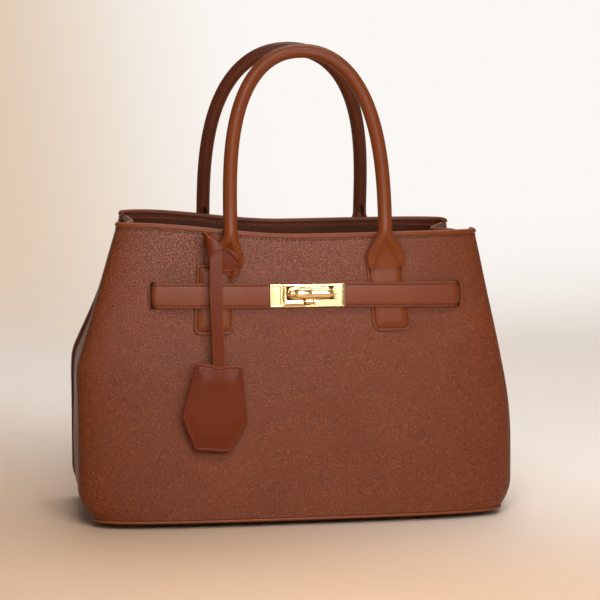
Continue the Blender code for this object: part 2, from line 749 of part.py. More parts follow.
def ring_heights(ring, up):
    """Height of each point of an inner ring at a fraction of the wall."""
    left, right = inner_widths(up, 0.0)
    across = ring[:, 0] / np.where(ring[:, 0] < 0, left, right)
    return WALL_BOTTOM + up * (rim_height(across) - WALL_BOTTOM)


def make_inside(parts):
    """Leather facing around the mouth and the lining bag below it."""
    wall = RIM_HEIGHT - WALL_BOTTOM
    top = 1 - (BINDING_LEG + GUSSET_DROP + 3 * GAP) / wall
    bottom = 1 - FACING_HEIGHT / wall
    grid = []
    for up in np.linspace(bottom, top, 3):
        ring = inner_ring(up, LEATHER + 2 * GAP)
        grid.append(np.column_stack([ring, ring_heights(ring, up)]))
    sheet_part("mouth_facing", np.array(grid), FACING_THICKNESS, SMOOTH, parts, wrap=True)
    floor = (LINING_FLOOR - WALL_BOTTOM) / wall
    grid = []
    for up in np.linspace(floor, bottom - 2 * GAP / wall, 8):
        ring = inner_ring(up, LINING_INSET)
        z = ring_heights(ring, up)
        if not grid:
            z = np.full(len(ring), LINING_FLOOR)
        grid.append(np.column_stack([ring, z]))
    grid = np.array(grid)
    rows, columns = grid.shape[:2]
    faces = grid_faces(rows, columns, wrap=True)
    faces.append(tuple(reversed(range(columns))))
    mesh = mesh_from("lining", grid.reshape(-1, 3), faces)
    lining = new_part("lining", mesh, SUEDE, parts)
    thicken = lining.modifiers.new("thickness", "SOLIDIFY")
    thicken.thickness = LINING_THICKNESS
    thicken.offset = -1.0
    thicken.use_even_offset = True


def base_outline(inset, columns=22):
    """Closed outline of the base, the given inset inside the panels' faces."""
    widths = [float(half_width(0.0, side)) for side in (-1, 1)]
    corners = [float(fold_half_depth(0.0, side)) + SEAM_LAP for side in (-1, 1)]
    line = plan_half(widths, corners, float(mid_depth(0.0)), float(corner_power(0.0)))
    line = resample(line, column_fractions(columns, 0.7))
    ring = np.concatenate([line * [1.0, -1.0], line[::-1]])
    before = unit(ring - np.roll(ring, 1, axis=0))
    after = unit(np.roll(ring, -1, axis=0) - ring)
    along = unit(before + after)
    mitre = 1 / np.sqrt((1 + np.sum(before * after, axis=1)) / 2)
    inward = np.stack([-along[:, 1], along[:, 0]], axis=-1) * mitre[:, None]
    return [tuple(point) for point in ring + inward * inset]


def foot_places():
    """Positions of the four feet."""
    x = BASE_WIDTH / 2 - BOTTOM_TUCK_LEFT - FOOT_INSET_X
    y = BASE_DEPTH / 2 - FOOT_INSET_Y
    return (("front_left", -x, -y), ("front_right", x, -y),
            ("back_left", -x, y), ("back_right", x, y))


def turned_part(name, profile, place, finish, group, steps=12):
    """Turned shape: a profile at +X, top to bottom, with a Screw modifier."""
    points = [(r, 0.0, z) for r, z in profile]
    edges = [(k, k + 1) for k in range(len(points) - 1)]
    mesh = bpy.data.meshes.new(name)
    mesh.from_pydata(points, edges, [])
    mesh.materials.append(new_material(name, finish))
    part = bpy.data.objects.new(name, mesh)
    part.location = place
    group.objects.link(part)
    turn = part.modifiers.new("turn", "SCREW")
    turn.steps = steps
    turn.render_steps = steps
    turn.use_merge_vertices = True
    turn.merge_threshold = 0.00001
    return part


def make_base(parts, cutters):
    """Base panel, its piping, the board inside and four feet with washers."""
    piping = bpy.data.curves.new("base_piping", "CURVE")
    piping.dimensions = "3D"
    line = base_outline(LEATHER / 2)
    spline = piping.splines.new("POLY")
    spline.points.add(len(line) - 1)
    for point, (x, y) in zip(spline.points, line):
        point.co = (x, y, PIPING_Z, 1.0)
    spline.use_cyclic_u = True
    piping.bevel_depth = PIPING_RADIUS
    piping.bevel_resolution = 2
    piping.render_resolution_u = 0
    piping.materials.append(new_material("base_piping", SMOOTH))
    parts.objects.link(bpy.data.objects.new("base_piping", piping))
    inset = LEATHER / 2 + PIPING_RADIUS + GAP
    mesh = plate_mesh("base_panel", base_outline(inset), BASE_PANEL_Z,
                      BASE_PANEL_Z + BASE_PANEL_THICKNESS)
    panel = new_part("base_panel", mesh, PEBBLED, parts)
    inset = 2 * LEATHER + 3 * GAP
    mesh = plate_mesh("base_board", base_outline(inset), BOARD_Z,
                      BOARD_Z + BOARD_THICKNESS)
    board = new_part("base_board", mesh, BOARD, parts)
    top = WASHER_Z + FOOT_WASHER_THICKNESS
    for word, x, y in foot_places():
        foot = [(0.0, top), (FOOT_SHANK, top), (FOOT_SHANK, FOOT_HEIGHT),
                (FOOT_RADIUS, FOOT_HEIGHT), (FOOT_RADIUS, FOOT_HEIGHT * 0.45),
                (FOOT_RADIUS * 0.85, FOOT_HEIGHT * 0.12),
                (FOOT_RADIUS * 0.55, 0.0), (0.0, 0.0)]
        turned_part("foot_" + word, foot, (x, y, 0.0), GOLD, parts)
        hole = FOOT_SHANK + GAP
        ring = [(hole, top), (FOOT_WASHER, top), (FOOT_WASHER, WASHER_Z),
                (hole, WASHER_Z), (hole, top)]
        turned_part("foot_washer_" + word, ring, (x, y, 0.0), GOLD, parts)
        drill = disc_mesh("foot_hole_" + word, hole, 0.0, LINING_FLOOR + CUT_REACH)
        drill.transform(Matrix.Translation((x, y, 0.0)))
        drill = new_cutter("foot_hole_" + word, drill, cutters)
        cut(panel, drill)
        cut(board, drill)


def make_tab(name, centre, lean, face, parts):
    """Padded tab with rounded lower corners, lying on a panel and leaning outwards."""
    rise = TAB_CORNER * (1 - np.cos(np.linspace(0.0, math.pi / 2, 5)))
    z = np.concatenate([TAB_BOTTOM + rise, np.linspace(TAB_BOTTOM + TAB_CORNER,
                                                       TAB_TOP, 8)[1:]])
    into = np.clip(1 - (z - TAB_BOTTOM) / TAB_CORNER, 0.0, 1.0)
    half = TAB_HALF_WIDTH - TAB_CORNER * (1 - np.sqrt(1 - into ** 2))
    half = half - TAB_TAPER * (z - TAB_BOTTOM) / TAB_LENGTH
    across = np.array([-1.0, -0.85, -0.45, 0.0, 0.45, 0.85, 1.0])
    x = centre + across[None, :] * half[:, None] + (lean * (TAB_TOP - z))[:, None]
    z = np.repeat(z[:, None], len(across), axis=1)
    crown = (1 - across ** 4)[None, :] * np.clip((z - TAB_BOTTOM) / TAB_CORNER, 0.0, 1.0)
    outer = off_wall(x, z, face, GAP + TAB_THICKNESS + TAB_PADDING * crown)
    inner = off_wall(x, z, face, np.array(GAP))
    new_part(name, slab_mesh(name, outer, inner), SMOOTH, parts)


def centre_of(face):
    """Centre line of what is sewn to one face."""
    return FRONT_CENTRE if face == FRONT else BACK_CENTRE


def leg_line(x, shift, face):
    """Centre line of one handle leg, from the foot's end up past the rim."""
    top = RIM_HEIGHT + HANDLE_JOIN
    z = np.linspace(HANDLE_FOOT_HEIGHT, top, 30)
    low = TAB_OUTER + GAP + FLARE_HALF_THICKNESS
    share = (z - HANDLE_FOOT_HEIGHT) / (top - HANDLE_FOOT_HEIGHT)
    stand = low + (HANDLE_STAND - low) * share
    line = wall_point(x + shift * (1 - share) ** 2, z, face)
    line[:, 1] += face * stand
    return line


def handle_line(spread, face):
    """Centre line of a handle: left leg, arch leaning in over the mouth, right leg."""
    middle = centre_of(face)
    shifts = (-FOOT_SHIFT_LEFT, FOOT_SHIFT_RIGHT) if face == FRONT else (0.0, 0.0)
    left = leg_line(middle - spread, shifts[0], face)
    right = leg_line(middle + spread, shifts[1], face)
    turn = np.linspace(0.0, math.pi, 121)[1:-1]
    cosine = np.cos(turn)
    across = -np.sign(cosine) * np.abs(cosine) ** (2 / ARCH_ROUND_ACROSS)
    climb = np.sin(turn) ** (2 / ARCH_ROUND_UP)
    foot = (left[-1, 1] + right[-1, 1]) / 2 + (right[-1, 1] - left[-1, 1]) / 2 * across
    lean = HANDLE_LEAN * climb ** ARCH_LEAN_POWER
    x = middle + spread * across
    y = foot - face * lean
    z = left[-1, 2] + HANDLE_RISE * climb
    line = np.concatenate([left, np.stack([x, y, z], axis=-1), right[::-1]])
    line = resample(line, np.linspace(0.0, 1.0, 401))
    reach = 8
    padded = np.concatenate([2 * line[:1] - line[reach:0:-1], line,
                             2 * line[-1:] - line[-2:-2 - reach:-1]])
    window = np.hanning(2 * reach + 3)[1:-1]
    window = window / window.sum()
    return np.stack([np.convolve(padded[:, k], window, "valid") for k in range(3)],
                    axis=-1)


def handle_stations():
    """Fractions of the handle's length, crowded in the two flared feet."""
    foot = np.linspace(0.0, 0.085, 9)
    arch = np.linspace(0.085, 0.915, 21)[1:-1]
    return np.concatenate([foot, arch, 1 - foot[::-1]])


def handle_sections(line, fractions):
    """Frame and half sizes of the handle's section at each station."""
    length = float(np.sum(np.linalg.norm(np.diff(line, axis=0), axis=1)))
    at = np.asarray(fractions) * length
    from_end = np.minimum(at, length - at)
    grow = smooth_step((from_end - FLARE_FLAT) / (FLARE_LENGTH - FLARE_FLAT))
    wide = FLARE_HALF_WIDTH + (HANDLE_RADIUS - FLARE_HALF_WIDTH) * grow
    thick = FLARE_HALF_THICKNESS + (HANDLE_RADIUS - FLARE_HALF_THICKNESS) * grow
    near_end = np.clip(1 - from_end / FLARE_CORNER_LENGTH, 0.0, 1.0)
    wide = wide - FLARE_CORNER_IN * near_end ** 2
    return wide, thick


def section_rings(line, fractions, wide, thick, face, sides=10):
    """Elliptical sections along a handle's centre line."""
    centre = resample(line, fractions)
    along = unit(np.gradient(centre, axis=0))
    out = np.tile([0.0, float(face), 0.0], (len(centre), 1))
    across = unit(np.cross(along, out))
    out = np.cross(across, along)
    turn = np.linspace(0.0, 2 * math.pi, sides, endpoint=False)
    return (centre[:, None] + (wide[:, None] * np.cos(turn))[..., None] * across[:, None]
            + (thick[:, None] * np.sin(turn))[..., None] * out[:, None])


def foot_dip(face):
    """How far the lower corner of a slanting foot reaches below the foot's middle."""
    spread = FRONT_SPREAD if face == FRONT else BACK_SPREAD
    start = unit(np.diff(handle_line(spread, face)[:2], axis=0))[0]
    return FLARE_HALF_WIDTH * abs(float(start[0]))


def hinge_point(face):
    """Middle of the line about which a handle tilts, where its feet are sewn."""
    depth = TAB_OUTER + GAP
    middle = centre_of(face)
    z = HANDLE_FOOT_HEIGHT - foot_dip(face)
    y = float(off_wall(middle, z, face, np.array(depth))[1])
    return (middle, y, z)


def make_handle(word, spread, face, parts):
    """Rolled handle with flared feet, and the cord that fills its roll."""
    line = handle_line(spread, face)
    stations = handle_stations()
    wide, thick = handle_sections(line, stations)
    outer = section_rings(line, stations, wide, thick, face)
    inner = section_rings(line, stations, wide - HANDLE_LEATHER,
                          thick - HANDLE_LEATHER, face)
    hinge = hinge_point(face)
    name = word + "_handle"
    new_part(name, pipe_mesh(name, outer, inner), SMOOTH, parts, hinge)
    full = thick > HANDLE_RADIUS - GAP / 10
    radius = np.full(len(stations), HANDLE_RADIUS - HANDLE_LEATHER - GAP)
    core = section_rings(line, stations, radius, radius, face)[full]
    name = word + "_handle_core"
    new_part(name, loft_mesh(name, core), CORD, parts, hinge)


def belt_mesh(name, line, side):
    """Belt strip along a line of x (from the front's centre) and offset."""
    along = unit(np.gradient(line, axis=0))
    normal = np.stack([-along[:, 1], along[:, 0]], axis=-1) * side
    half = BELT_THICKNESS / 2
    z = np.linspace(BELT_Z - BELT_HEIGHT / 2, BELT_Z + BELT_HEIGHT / 2, 3)
    grids = []
    for sign in (1.0, -1.0):
        face = line + sign * half * normal
        x = FRONT_CENTRE + side * face[:, 0]
        x = np.repeat(x[:, None], len(z), axis=1)
        offset = np.repeat(face[:, 1][:, None], len(z), axis=1)
        grids.append(off_wall(x, np.repeat(z[None], len(x), axis=0), FRONT, offset))
    return slab_mesh(name, grids[0], grids[1])


def belt_turn():
    """The belt's bend into its slit: distance from the centre line and offset."""
    turn = np.linspace(0.0, math.pi / 2, 7)
    x = BELT_SLIT_X - BELT_BEND + BELT_BEND * np.sin(turn)
    offset = BELT_OVER_TABS - BELT_BEND + BELT_BEND * np.cos(turn)
    line = np.stack([x, offset], axis=-1)
    end = [[BELT_SLIT_X, -LEATHER + GAP]]
    return np.concatenate([line, end])


def make_belt(parts):
    """Both halves of the belt, the right half's fixed end and the slit welts."""
    start = -PLATE_LEFT_START - CLAMP_DEPTH - 2 * GAP
    half_step = BELT_RUN_STEP / 2
    level = np.linspace(BELT_DIP_END + BELT_RUN_STEP, BELT_SLIT_X - BELT_BEND - BELT_RUN_STEP, 8)
    dip = np.linspace(BELT_DIP_START, BELT_DIP_END, 5)
    run = np.concatenate([[start, BELT_DIP_START - half_step], dip, level])
    sink = smooth_step((run - BELT_DIP_START) / (BELT_DIP_END - BELT_DIP_START))
    offset = BELT_AT_PLATE + (BELT_OVER_TABS - BELT_AT_PLATE) * sink
    line = np.concatenate([np.stack([run, offset], axis=-1), belt_turn()])
    new_part("belt_left", belt_mesh("belt_left", line, -1), SMOOTH, parts)
    start = PLATE_RIGHT_END - CLAMP_DEPTH - GAP
    run = np.linspace(start, BELT_HINGE_X - GAP / 2, 13)
    line = np.stack([run, np.full(len(run), BELT_OVER_TABS)], axis=-1)
    mesh = belt_mesh("belt_right", line, 1)
    new_part("belt_right", mesh, SMOOTH, parts, belt_hinge())
    first = [[BELT_HINGE_X + GAP / 2, BELT_OVER_TABS]]
    mesh = belt_mesh("belt_right_end", np.concatenate([first, belt_turn()]), 1)
    new_part("belt_right_end", mesh, SMOOTH, parts)
    for side, word in ((-1, "left"), (1, "right")):
        inner = BELT_SLIT_X + BELT_THICKNESS / 2 + SLIT_CLEARANCE
        x = FRONT_CENTRE + side * (inner + WELT_WIDTH * np.array([0.0, 0.25, 0.75, 1.0]))
        half = BELT_HEIGHT / 2 + WELT_OVERHANG
        z = np.linspace(BELT_Z - half, BELT_Z + half, 5)
        z, x = np.meshgrid(z, x, indexing="ij")
        rise = WELT_THICKNESS * np.array([0.45, 1.0, 1.0, 0.45])[None, :]
        outer = off_wall(x, z, FRONT, GAP + rise)
        name = "belt_welt_" + word
        mesh = slab_mesh(name, outer, off_wall(x, z, FRONT, np.array(GAP)))
        new_part(name, mesh, SMOOTH, parts)


def belt_hinge():
    """Point on the line about which the belt's right half swings open."""
    offset = np.array(BELT_OVER_TABS + BELT_THICKNESS / 2)
    return tuple(off_wall(FRONT_CENTRE + BELT_HINGE_X, BELT_Z, FRONT, offset))


def hook_mesh(name, outline):
    """Plate bent from strip: an outline in X and Z, extruded along Y."""
    half = PLATE_HEIGHT / 2
    count = len(outline)
    low = [(x, -half, n) for x, n in outline]
    high = [(x, half, n) for x, n in outline]
    faces = [tuple(range(count)), tuple(range(count, 2 * count))]
    for a in range(count):
        b = (a + 1) % count
        faces.append((a, b, count + b, count + a))
    return close_faces(mesh_from(name, low + high, faces))


def make_plates(parts, cutters, place):
    """Both slotted plates, each folded under the end of its belt half."""
    half = Vector((SLOT_LENGTH / 2, SLOT_WIDTH / 2, PLATE_RIGHT_OUTER + CUT_REACH))
    slot = box_mesh("clasp_slot", -half, half)
    slot.transform(toggle_matrix())
    slot = new_cutter("clasp_slot", slot, cutters)
    low = (-NOTCH_WIDTH / 2, -NOTCH_DEPTH, 0.0)
    high = (NOTCH_WIDTH / 2, 0.0, PLATE_RIGHT_OUTER + CUT_REACH)
    notch = box_mesh("clasp_notch", low, high)
    notch.transform(toggle_matrix())
    notch = new_cutter("clasp_notch", notch, cutters)
    a, b = PLATE_LEFT_START, PLATE_LEFT_END
    web = a + CLAMP_DEPTH + 3 * GAP
    left = [(a, PLATE_LEFT_OUTER), (b, PLATE_LEFT_OUTER), (b, PLATE_LEFT_INNER),
            (web + CLAMP_WALL, PLATE_LEFT_INNER), (web + CLAMP_WALL, LIP_LEFT_INNER),
            (a, LIP_LEFT_INNER), (a, LIP_LEFT_OUTER), (web, LIP_LEFT_OUTER),
            (web, PLATE_LEFT_INNER), (a, PLATE_LEFT_INNER)]
    mesh = hook_mesh("clasp_plate_left", left)
    mesh.transform(place)
    plate = new_part("clasp_plate_left", mesh, GOLD, parts)
    cut(plate, slot)
    cut(plate, notch)
    a, b = PLATE_RIGHT_START, PLATE_RIGHT_END
    web = PLATE_RIGHT_WEB
    low = BELT_OVER_TABS - BELT_THICKNESS / 2 - GAP
    clamp = BELT_OVER_TABS + BELT_THICKNESS / 2 + GAP
    right = [(a, PLATE_RIGHT_OUTER), (b, PLATE_RIGHT_OUTER), (b, clamp), (web, clamp),
             (web, low), (b, low), (b, low - CLAMP_WALL),
             (web - CLAMP_WALL, low - CLAMP_WALL), (web - CLAMP_WALL, PLATE_RIGHT_INNER),
             (a, PLATE_RIGHT_INNER)]
    mesh = hook_mesh("clasp_plate_right", right)
    mesh.transform(place)
    plate = new_part("clasp_plate_right", mesh, GOLD, parts, belt_hinge())
    cut(plate, slot)
    cut(plate, notch)


def make_post(parts, cutters, place):
    """Post riveted through the panel, with the backing washer inside."""
    half_length = POST_FLANGE_LENGTH / 2
    half_height = POST_FLANGE_WIDTH / 2
    low = 2 * GAP
    mesh = box_mesh("clasp_post", (-half_length, -half_height, low),
                    (half_length, half_height, low + POST_FLANGE_THICKNESS))
    mesh.transform(place)
    post = new_part("clasp_post", mesh, GOLD, parts)
    collar = disc_mesh("post_collar", POST_RADIUS, low + POST_FLANGE_THICKNESS / 2,
                       POST_TOP)
    collar.transform(place)
    cut(post, new_cutter("post_collar", collar, cutters), "UNION")
    back = -LEATHER - GAP - BACKING_THICKNESS - GAP
    shank = disc_mesh("post_shank", POST_SHANK, back, low + POST_FLANGE_THICKNESS / 2)
    shank.transform(place)
    cut(post, new_cutter("post_shank", shank, cutters), "UNION")
    bore = disc_mesh("post_bore", STEM_RADIUS + RUNNING_CLEARANCE,
                     low + POST_FLANGE_THICKNESS, POST_TOP + CUT_REACH)
    bore.transform(place)
    cut(post, new_cutter("post_bore", bore, cutters))
    mesh = disc_mesh("clasp_backing", BACKING_RADIUS, -LEATHER - GAP - BACKING_THICKNESS,
                     -LEATHER - GAP)
    mesh.transform(place)
    backing = new_part("clasp_backing", mesh, GOLD, parts)
    hole = disc_mesh("backing_hole", POST_SHANK + GAP, -CUT_REACH, CUT_REACH)
    hole.transform(place)
    cut(backing, new_cutter("backing_hole", hole, cutters))


def make_toggle(parts, cutters, place):
    """Turning toggle: a bar with one round end and one button end on a stem."""
    half = BAR_LENGTH / 2
    r = BAR_RADIUS
    profile = [(0.0, half)]
    for turn in np.linspace(math.pi / 2, 0.0, 6)[1:]:
        profile.append((r * math.cos(turn), half - r + r * math.sin(turn)))
    button = -half + BAR_BUTTON_LENGTH
    profile += [(r, button + BAR_CHAMFER), (r - BAR_CHAMFER / 2, button),
                (BAR_NECK_RADIUS, button - GAP)]
    for turn in np.linspace(0.5, -math.pi / 2, 5)[:-1]:
        profile.append((BAR_BUTTON_RADIUS * math.cos(turn),
                        -half + BAR_BUTTON_LENGTH / 2 * (1 + math.sin(turn))))
    profile.append((0.0, -half))
    bar = turned_part("toggle", profile, (0.0, 0.0, 0.0), GOLD, parts, 20)
    bottom = 2 * GAP + POST_FLANGE_THICKNESS + 2 * GAP
    stem = disc_mesh("toggle_stem", STEM_RADIUS, bottom - BAR_OFFSET, 0.0)
    lay = Matrix.Rotation(math.pi / 2, 4, "Y")
    centre = place @ Matrix.Translation((0.0, 0.0, BAR_OFFSET))
    stem.transform(lay.inverted())
    bar.matrix_world = centre @ lay
    cutter = new_cutter("toggle_stem", stem, cutters)
    cutter.matrix_world = centre @ lay
    cut(bar, cutter, "UNION")
    knob = disc_mesh("toggle_knob", KNOB_RADIUS, -KNOB_LENGTH / 2, KNOB_LENGTH / 2)
    knob.transform(Matrix.Translation((KNOB_INSET, -KNOB_DROP, 0.0)))
    cutter = new_cutter("toggle_knob", knob, cutters)
    cutter.matrix_world = centre @ lay
    cut(bar, cutter, "UNION")


def tag_centre():
    """Point on the left leg of the front handle where the tag's loop sits."""
    line = handle_line(FRONT_SPREAD, FRONT)[:120]
    y = float(np.interp(TAG_LOOP_Z, line[:, 2], line[:, 1]))
    return FRONT_CENTRE - FRONT_SPREAD, y


def loop_half_depth():
    """Half depth of the loop's centre line around the handle's leg."""
    reach = TAG_LOOP_Z - HANDLE_FOOT_HEIGHT
    grow = float(smooth_step((reach - FLARE_FLAT) / (FLARE_LENGTH - FLARE_FLAT)))
    thick = FLARE_HALF_THICKNESS + (HANDLE_RADIUS - FLARE_HALF_THICKNESS) * grow
    return thick + 3 * GAP + TAG_LEATHER / 2


def knot_matrix():
    """Frame of the knot: local X along its band, local Z out of the bag."""
    x, y = tag_centre()
    front = y - loop_half_depth() - TAG_LEATHER / 2 - GAP
    place = Matrix.Translation((x - TAG_KNOT_SHIFT, front, TAG_LOOP_Z - TAG_KNOT_DROP))
    return place @ Matrix.Rotation(math.pi / 2, 4, "X") @ Matrix.Rotation(
        -TAG_KNOT_TILT, 4, "Z")


def knot_hinge():
    """Point behind the knot's highest corner, about which it tips as the handle does."""
    middle = knot_matrix().translation
    reach = TAG_KNOT_LENGTH / 2 * math.sin(TAG_KNOT_TILT)
    reach = reach + TAG_BAND / 2 * math.cos(TAG_KNOT_TILT)
    return (FRONT_CENTRE + TAG_STRAP_X, middle.y, middle.z + reach)


def strap_front():
    """Depth of the strap's back face: in front of the knot, and of the bag behind it."""
    knot = knot_matrix().translation.y - TAG_KNOT_THICKNESS - GAP
    x = FRONT_CENTRE + TAG_STRAP_X + TAG_LEAF_HALF_WIDE * np.array([-1.0, 0.0, 1.0])
    z = np.linspace(TAG_LEAF_TOP - TAG_LEAF_LENGTH, TAG_LEAF_TOP, 5)
    panel = float(np.min(wall_point(x[None, :], z[:, None], FRONT)[..., 1]))
    leaf = panel - TAG_CLEARANCE - TAG_LEATHER - GAP
    belt_face = off_wall(FRONT_CENTRE + TAG_STRAP_X, BELT_Z, FRONT,
                         np.array(BELT_OVER_TABS + BELT_THICKNESS / 2))
    belt = float(belt_face[1]) - TAG_CLEARANCE
    return min(knot, leaf, belt)


def make_tag(parts):
    """Loop round the handle, folded knot, strap and the two leaves of the tag."""
    x, y = tag_centre()
    turn = np.linspace(0.0, 2 * math.pi, 24, endpoint=False)
    cosine, sine = np.cos(turn), np.sin(turn)
    round_x = np.sign(cosine) * np.abs(cosine) ** 0.85
    round_y = np.sign(sine) * np.abs(sine) ** 0.85
    along = np.array([math.cos(TAG_LOOP_TILT), 0.0, -math.sin(TAG_LOOP_TILT)])
    wide = np.array([math.sin(TAG_LOOP_TILT), 0.0, math.cos(TAG_LOOP_TILT)])
    out = np.array([0.0, -1.0, 0.0])
    centre = np.array([x, y, TAG_LOOP_Z])
    path = (TAG_LOOP_HALF_WIDTH * round_x)[:, None] * along
    path = path + (loop_half_depth() * round_y)[:, None] * out
    radial = unit(path * [1.0, (TAG_LOOP_HALF_WIDTH / loop_half_depth()) ** 2, 1.0])
    corners = [(-1, -1), (1, -1), (1, 1), (-1, 1)]
    rings = np.stack([centre + path + radial * a * TAG_LEATHER / 2 + wide * b * TAG_BAND / 2
                      for a, b in corners], axis=1)
    mesh = loft_mesh("tag_loop", rings, closed=True)
    new_part("tag_loop", mesh, SMOOTH, parts, hinge_point(FRONT))
    mesh = box_mesh("tag_knot", (-TAG_KNOT_LENGTH / 2, -TAG_BAND / 2, 0.0),
                    (TAG_KNOT_LENGTH / 2, TAG_BAND / 2, TAG_KNOT_THICKNESS))
    place = knot_matrix()
    mesh.transform(place)
    pivot = (FRONT_CENTRE + TAG_STRAP_X, place.translation.y,
             TAG_STRAP_TOP - TAG_PIVOT_DROP)
    knot = new_part("tag_knot", mesh, SMOOTH, parts, knot_hinge())
    soften = knot.modifiers.new("soft_edges", "BEVEL")
    soften.width = TAG_KNOT_SOFTNESS
    soften.segments = 2
    front = strap_front()
    strap_x = FRONT_CENTRE + TAG_STRAP_X
    mesh = box_mesh("tag_strap", (strap_x - TAG_BAND / 2, front - TAG_LEATHER, TAG_STRAP_END),
                    (strap_x + TAG_BAND / 2, front, TAG_STRAP_TOP))
    strap = new_part("tag_strap", mesh, SMOOTH, parts, pivot)
    soften = strap.modifiers.new("soft_edges", "BEVEL")
    soften.width = TAG_STRAP_SOFTNESS
    soften.segments = 2
    leaf = [(TAG_LEAF_HALF_TOP, 0.0), (TAG_LEAF_HALF_WIDE, -TAG_LEAF_SHOULDER),
            (TAG_LEAF_HALF_END, -TAG_LEAF_LENGTH), (-TAG_LEAF_HALF_END, -TAG_LEAF_LENGTH),
            (-TAG_LEAF_HALF_WIDE, -TAG_LEAF_SHOULDER), (-TAG_LEAF_HALF_TOP, 0.0)]
    depth = {
        "tag_front_leaf": front - TAG_LEATHER - GAP - TAG_LEATHER / 2,
        "tag_back_leaf": front + GAP + TAG_LEATHER / 2,
    }
    for name, y in depth.items():
        make_leaf(name, leaf, y, strap_x, pivot, parts)
    m = TAG_INSERT_MARGIN
    low = TAG_STRAP_END - TAG_LEAF_TOP - GAP - TAG_BAND / 2 * abs(math.sin(TAG_LEAN))
    edge = TAG_LEAF_HALF_TOP + (TAG_LEAF_HALF_WIDE - TAG_LEAF_HALF_TOP) * (
        -low / TAG_LEAF_SHOULDER)
    insert = [(edge - m, low), (TAG_LEAF_HALF_WIDE - m, -TAG_LEAF_SHOULDER),
              (TAG_LEAF_HALF_END - m / 2, -TAG_LEAF_LENGTH + m),
              (-TAG_LEAF_HALF_END + m / 2, -TAG_LEAF_LENGTH + m),
              (-TAG_LEAF_HALF_WIDE + m, -TAG_LEAF_SHOULDER), (-edge + m, low)]
    make_leaf("tag_insert", insert, front - TAG_LEATHER / 2, strap_x, pivot, parts)


def make_leaf(name, outline, y, x, pivot, parts):
    """Flat leather leaf: a 2D curve with an extrude, stood up facing the front."""
    curve = bpy.data.curves.new(name, "CURVE")
    curve.dimensions = "2D"
    curve.fill_mode = "BOTH"
    curve.extrude = TAG_LEATHER / 2
    spline = curve.splines.new("POLY")
    spline.points.add(len(outline) - 1)
    stand = Matrix.Translation((x, y, TAG_LEAF_TOP)) @ Matrix.Rotation(
        TAG_LEAN, 4, "Y") @ Matrix.Rotation(math.pi / 2, 4, "X")
    home = Matrix.Translation(pivot)
    local = home.inverted() @ stand
    turn = Matrix.Rotation(math.pi / 2, 4, "X")
    for point, (a, b) in zip(spline.points, outline):
        flat = turn.inverted() @ (local @ Vector((a, b, 0.0)))
        point.co = (flat.x, flat.y, 0.0, 1.0)
    spline.use_cyclic_u = True
    curve.materials.append(new_material(name, TAG_BROWN))
    leaf = bpy.data.objects.new(name, curve)
    leaf.matrix_world = Matrix.Translation((0.0, y - pivot[1], 0.0)) @ home @ turn
    parts.objects.link(leaf)


def main():
    """Build the whole bag."""
    clear_scene()
    parts = new_collection("tote_bag")
    cutters = new_collection("tote_bag_cutters")
    make_panels(parts, cutters)
    make_gusset(parts, -1, "left")
    make_gusset(parts, 1, "right")
    make_bindings(parts)
    make_inside(parts)
    make_base(parts, cutters)
    for word, face in (("front", FRONT), ("back", BACK)):
        places = [(-TAB_SPREAD, 0.0), (TAB_SPREAD, 0.0)]
        if face == FRONT:
            places = [(TAB_LEFT_X, -TAB_LEAN_LEFT), (TAB_RIGHT_X, TAB_LEAN_RIGHT)]
        for (x, lean), side in zip(places, ("left", "right")):
            make_tab(word + "_tab_" + side, centre_of(face) + x, lean, face, parts)
    make_handle("front", FRONT_SPREAD, FRONT, parts)
    make_handle("back", BACK_SPREAD, BACK, parts)
    make_belt(parts)
    make_plates(parts, cutters, wall_matrix(FRONT_CENTRE, BELT_Z, FRONT))
    make_post(parts, cutters, toggle_matrix())
    make_toggle(parts, cutters, toggle_matrix())
    make_tag(parts)


main()
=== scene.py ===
"""A structured leather tote bag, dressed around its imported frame.

Two pebbled panels and two folding gussets stand on a stiff base with four studs.
Rolled handles flare out onto padded tabs, a belt in two halves is closed by slotted
gold plates over a turning bar, and a bell-shaped tag hangs from the left leg of the
front handle.  Lengths are in metres: X runs across, -Y is the front, +Z is up.
"""

import json
import logging
import math
from dataclasses import dataclass, field
from enum import Enum

import bmesh
import bpy
import numpy as np
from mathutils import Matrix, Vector

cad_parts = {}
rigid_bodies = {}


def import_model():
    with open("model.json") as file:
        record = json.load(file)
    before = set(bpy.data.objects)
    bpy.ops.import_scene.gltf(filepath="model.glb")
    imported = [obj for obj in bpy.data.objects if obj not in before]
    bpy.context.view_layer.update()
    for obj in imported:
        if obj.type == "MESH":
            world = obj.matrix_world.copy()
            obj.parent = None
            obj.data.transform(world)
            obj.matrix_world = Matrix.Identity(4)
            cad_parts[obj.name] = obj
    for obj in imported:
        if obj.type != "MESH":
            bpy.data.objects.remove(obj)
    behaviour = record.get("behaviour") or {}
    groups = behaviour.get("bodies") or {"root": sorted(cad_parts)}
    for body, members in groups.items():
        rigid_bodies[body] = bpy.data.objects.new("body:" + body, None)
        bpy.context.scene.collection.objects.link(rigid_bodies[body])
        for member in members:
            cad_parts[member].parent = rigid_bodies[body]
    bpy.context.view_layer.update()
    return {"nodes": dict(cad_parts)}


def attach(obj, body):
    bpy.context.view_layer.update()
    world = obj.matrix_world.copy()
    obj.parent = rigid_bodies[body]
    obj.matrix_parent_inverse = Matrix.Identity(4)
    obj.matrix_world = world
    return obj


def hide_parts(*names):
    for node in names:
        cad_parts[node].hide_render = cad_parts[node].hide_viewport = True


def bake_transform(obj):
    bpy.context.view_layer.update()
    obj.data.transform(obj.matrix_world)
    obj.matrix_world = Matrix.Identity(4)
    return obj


for leftover in list(bpy.data.objects):
    bpy.data.objects.remove(leftover, do_unlink=True)

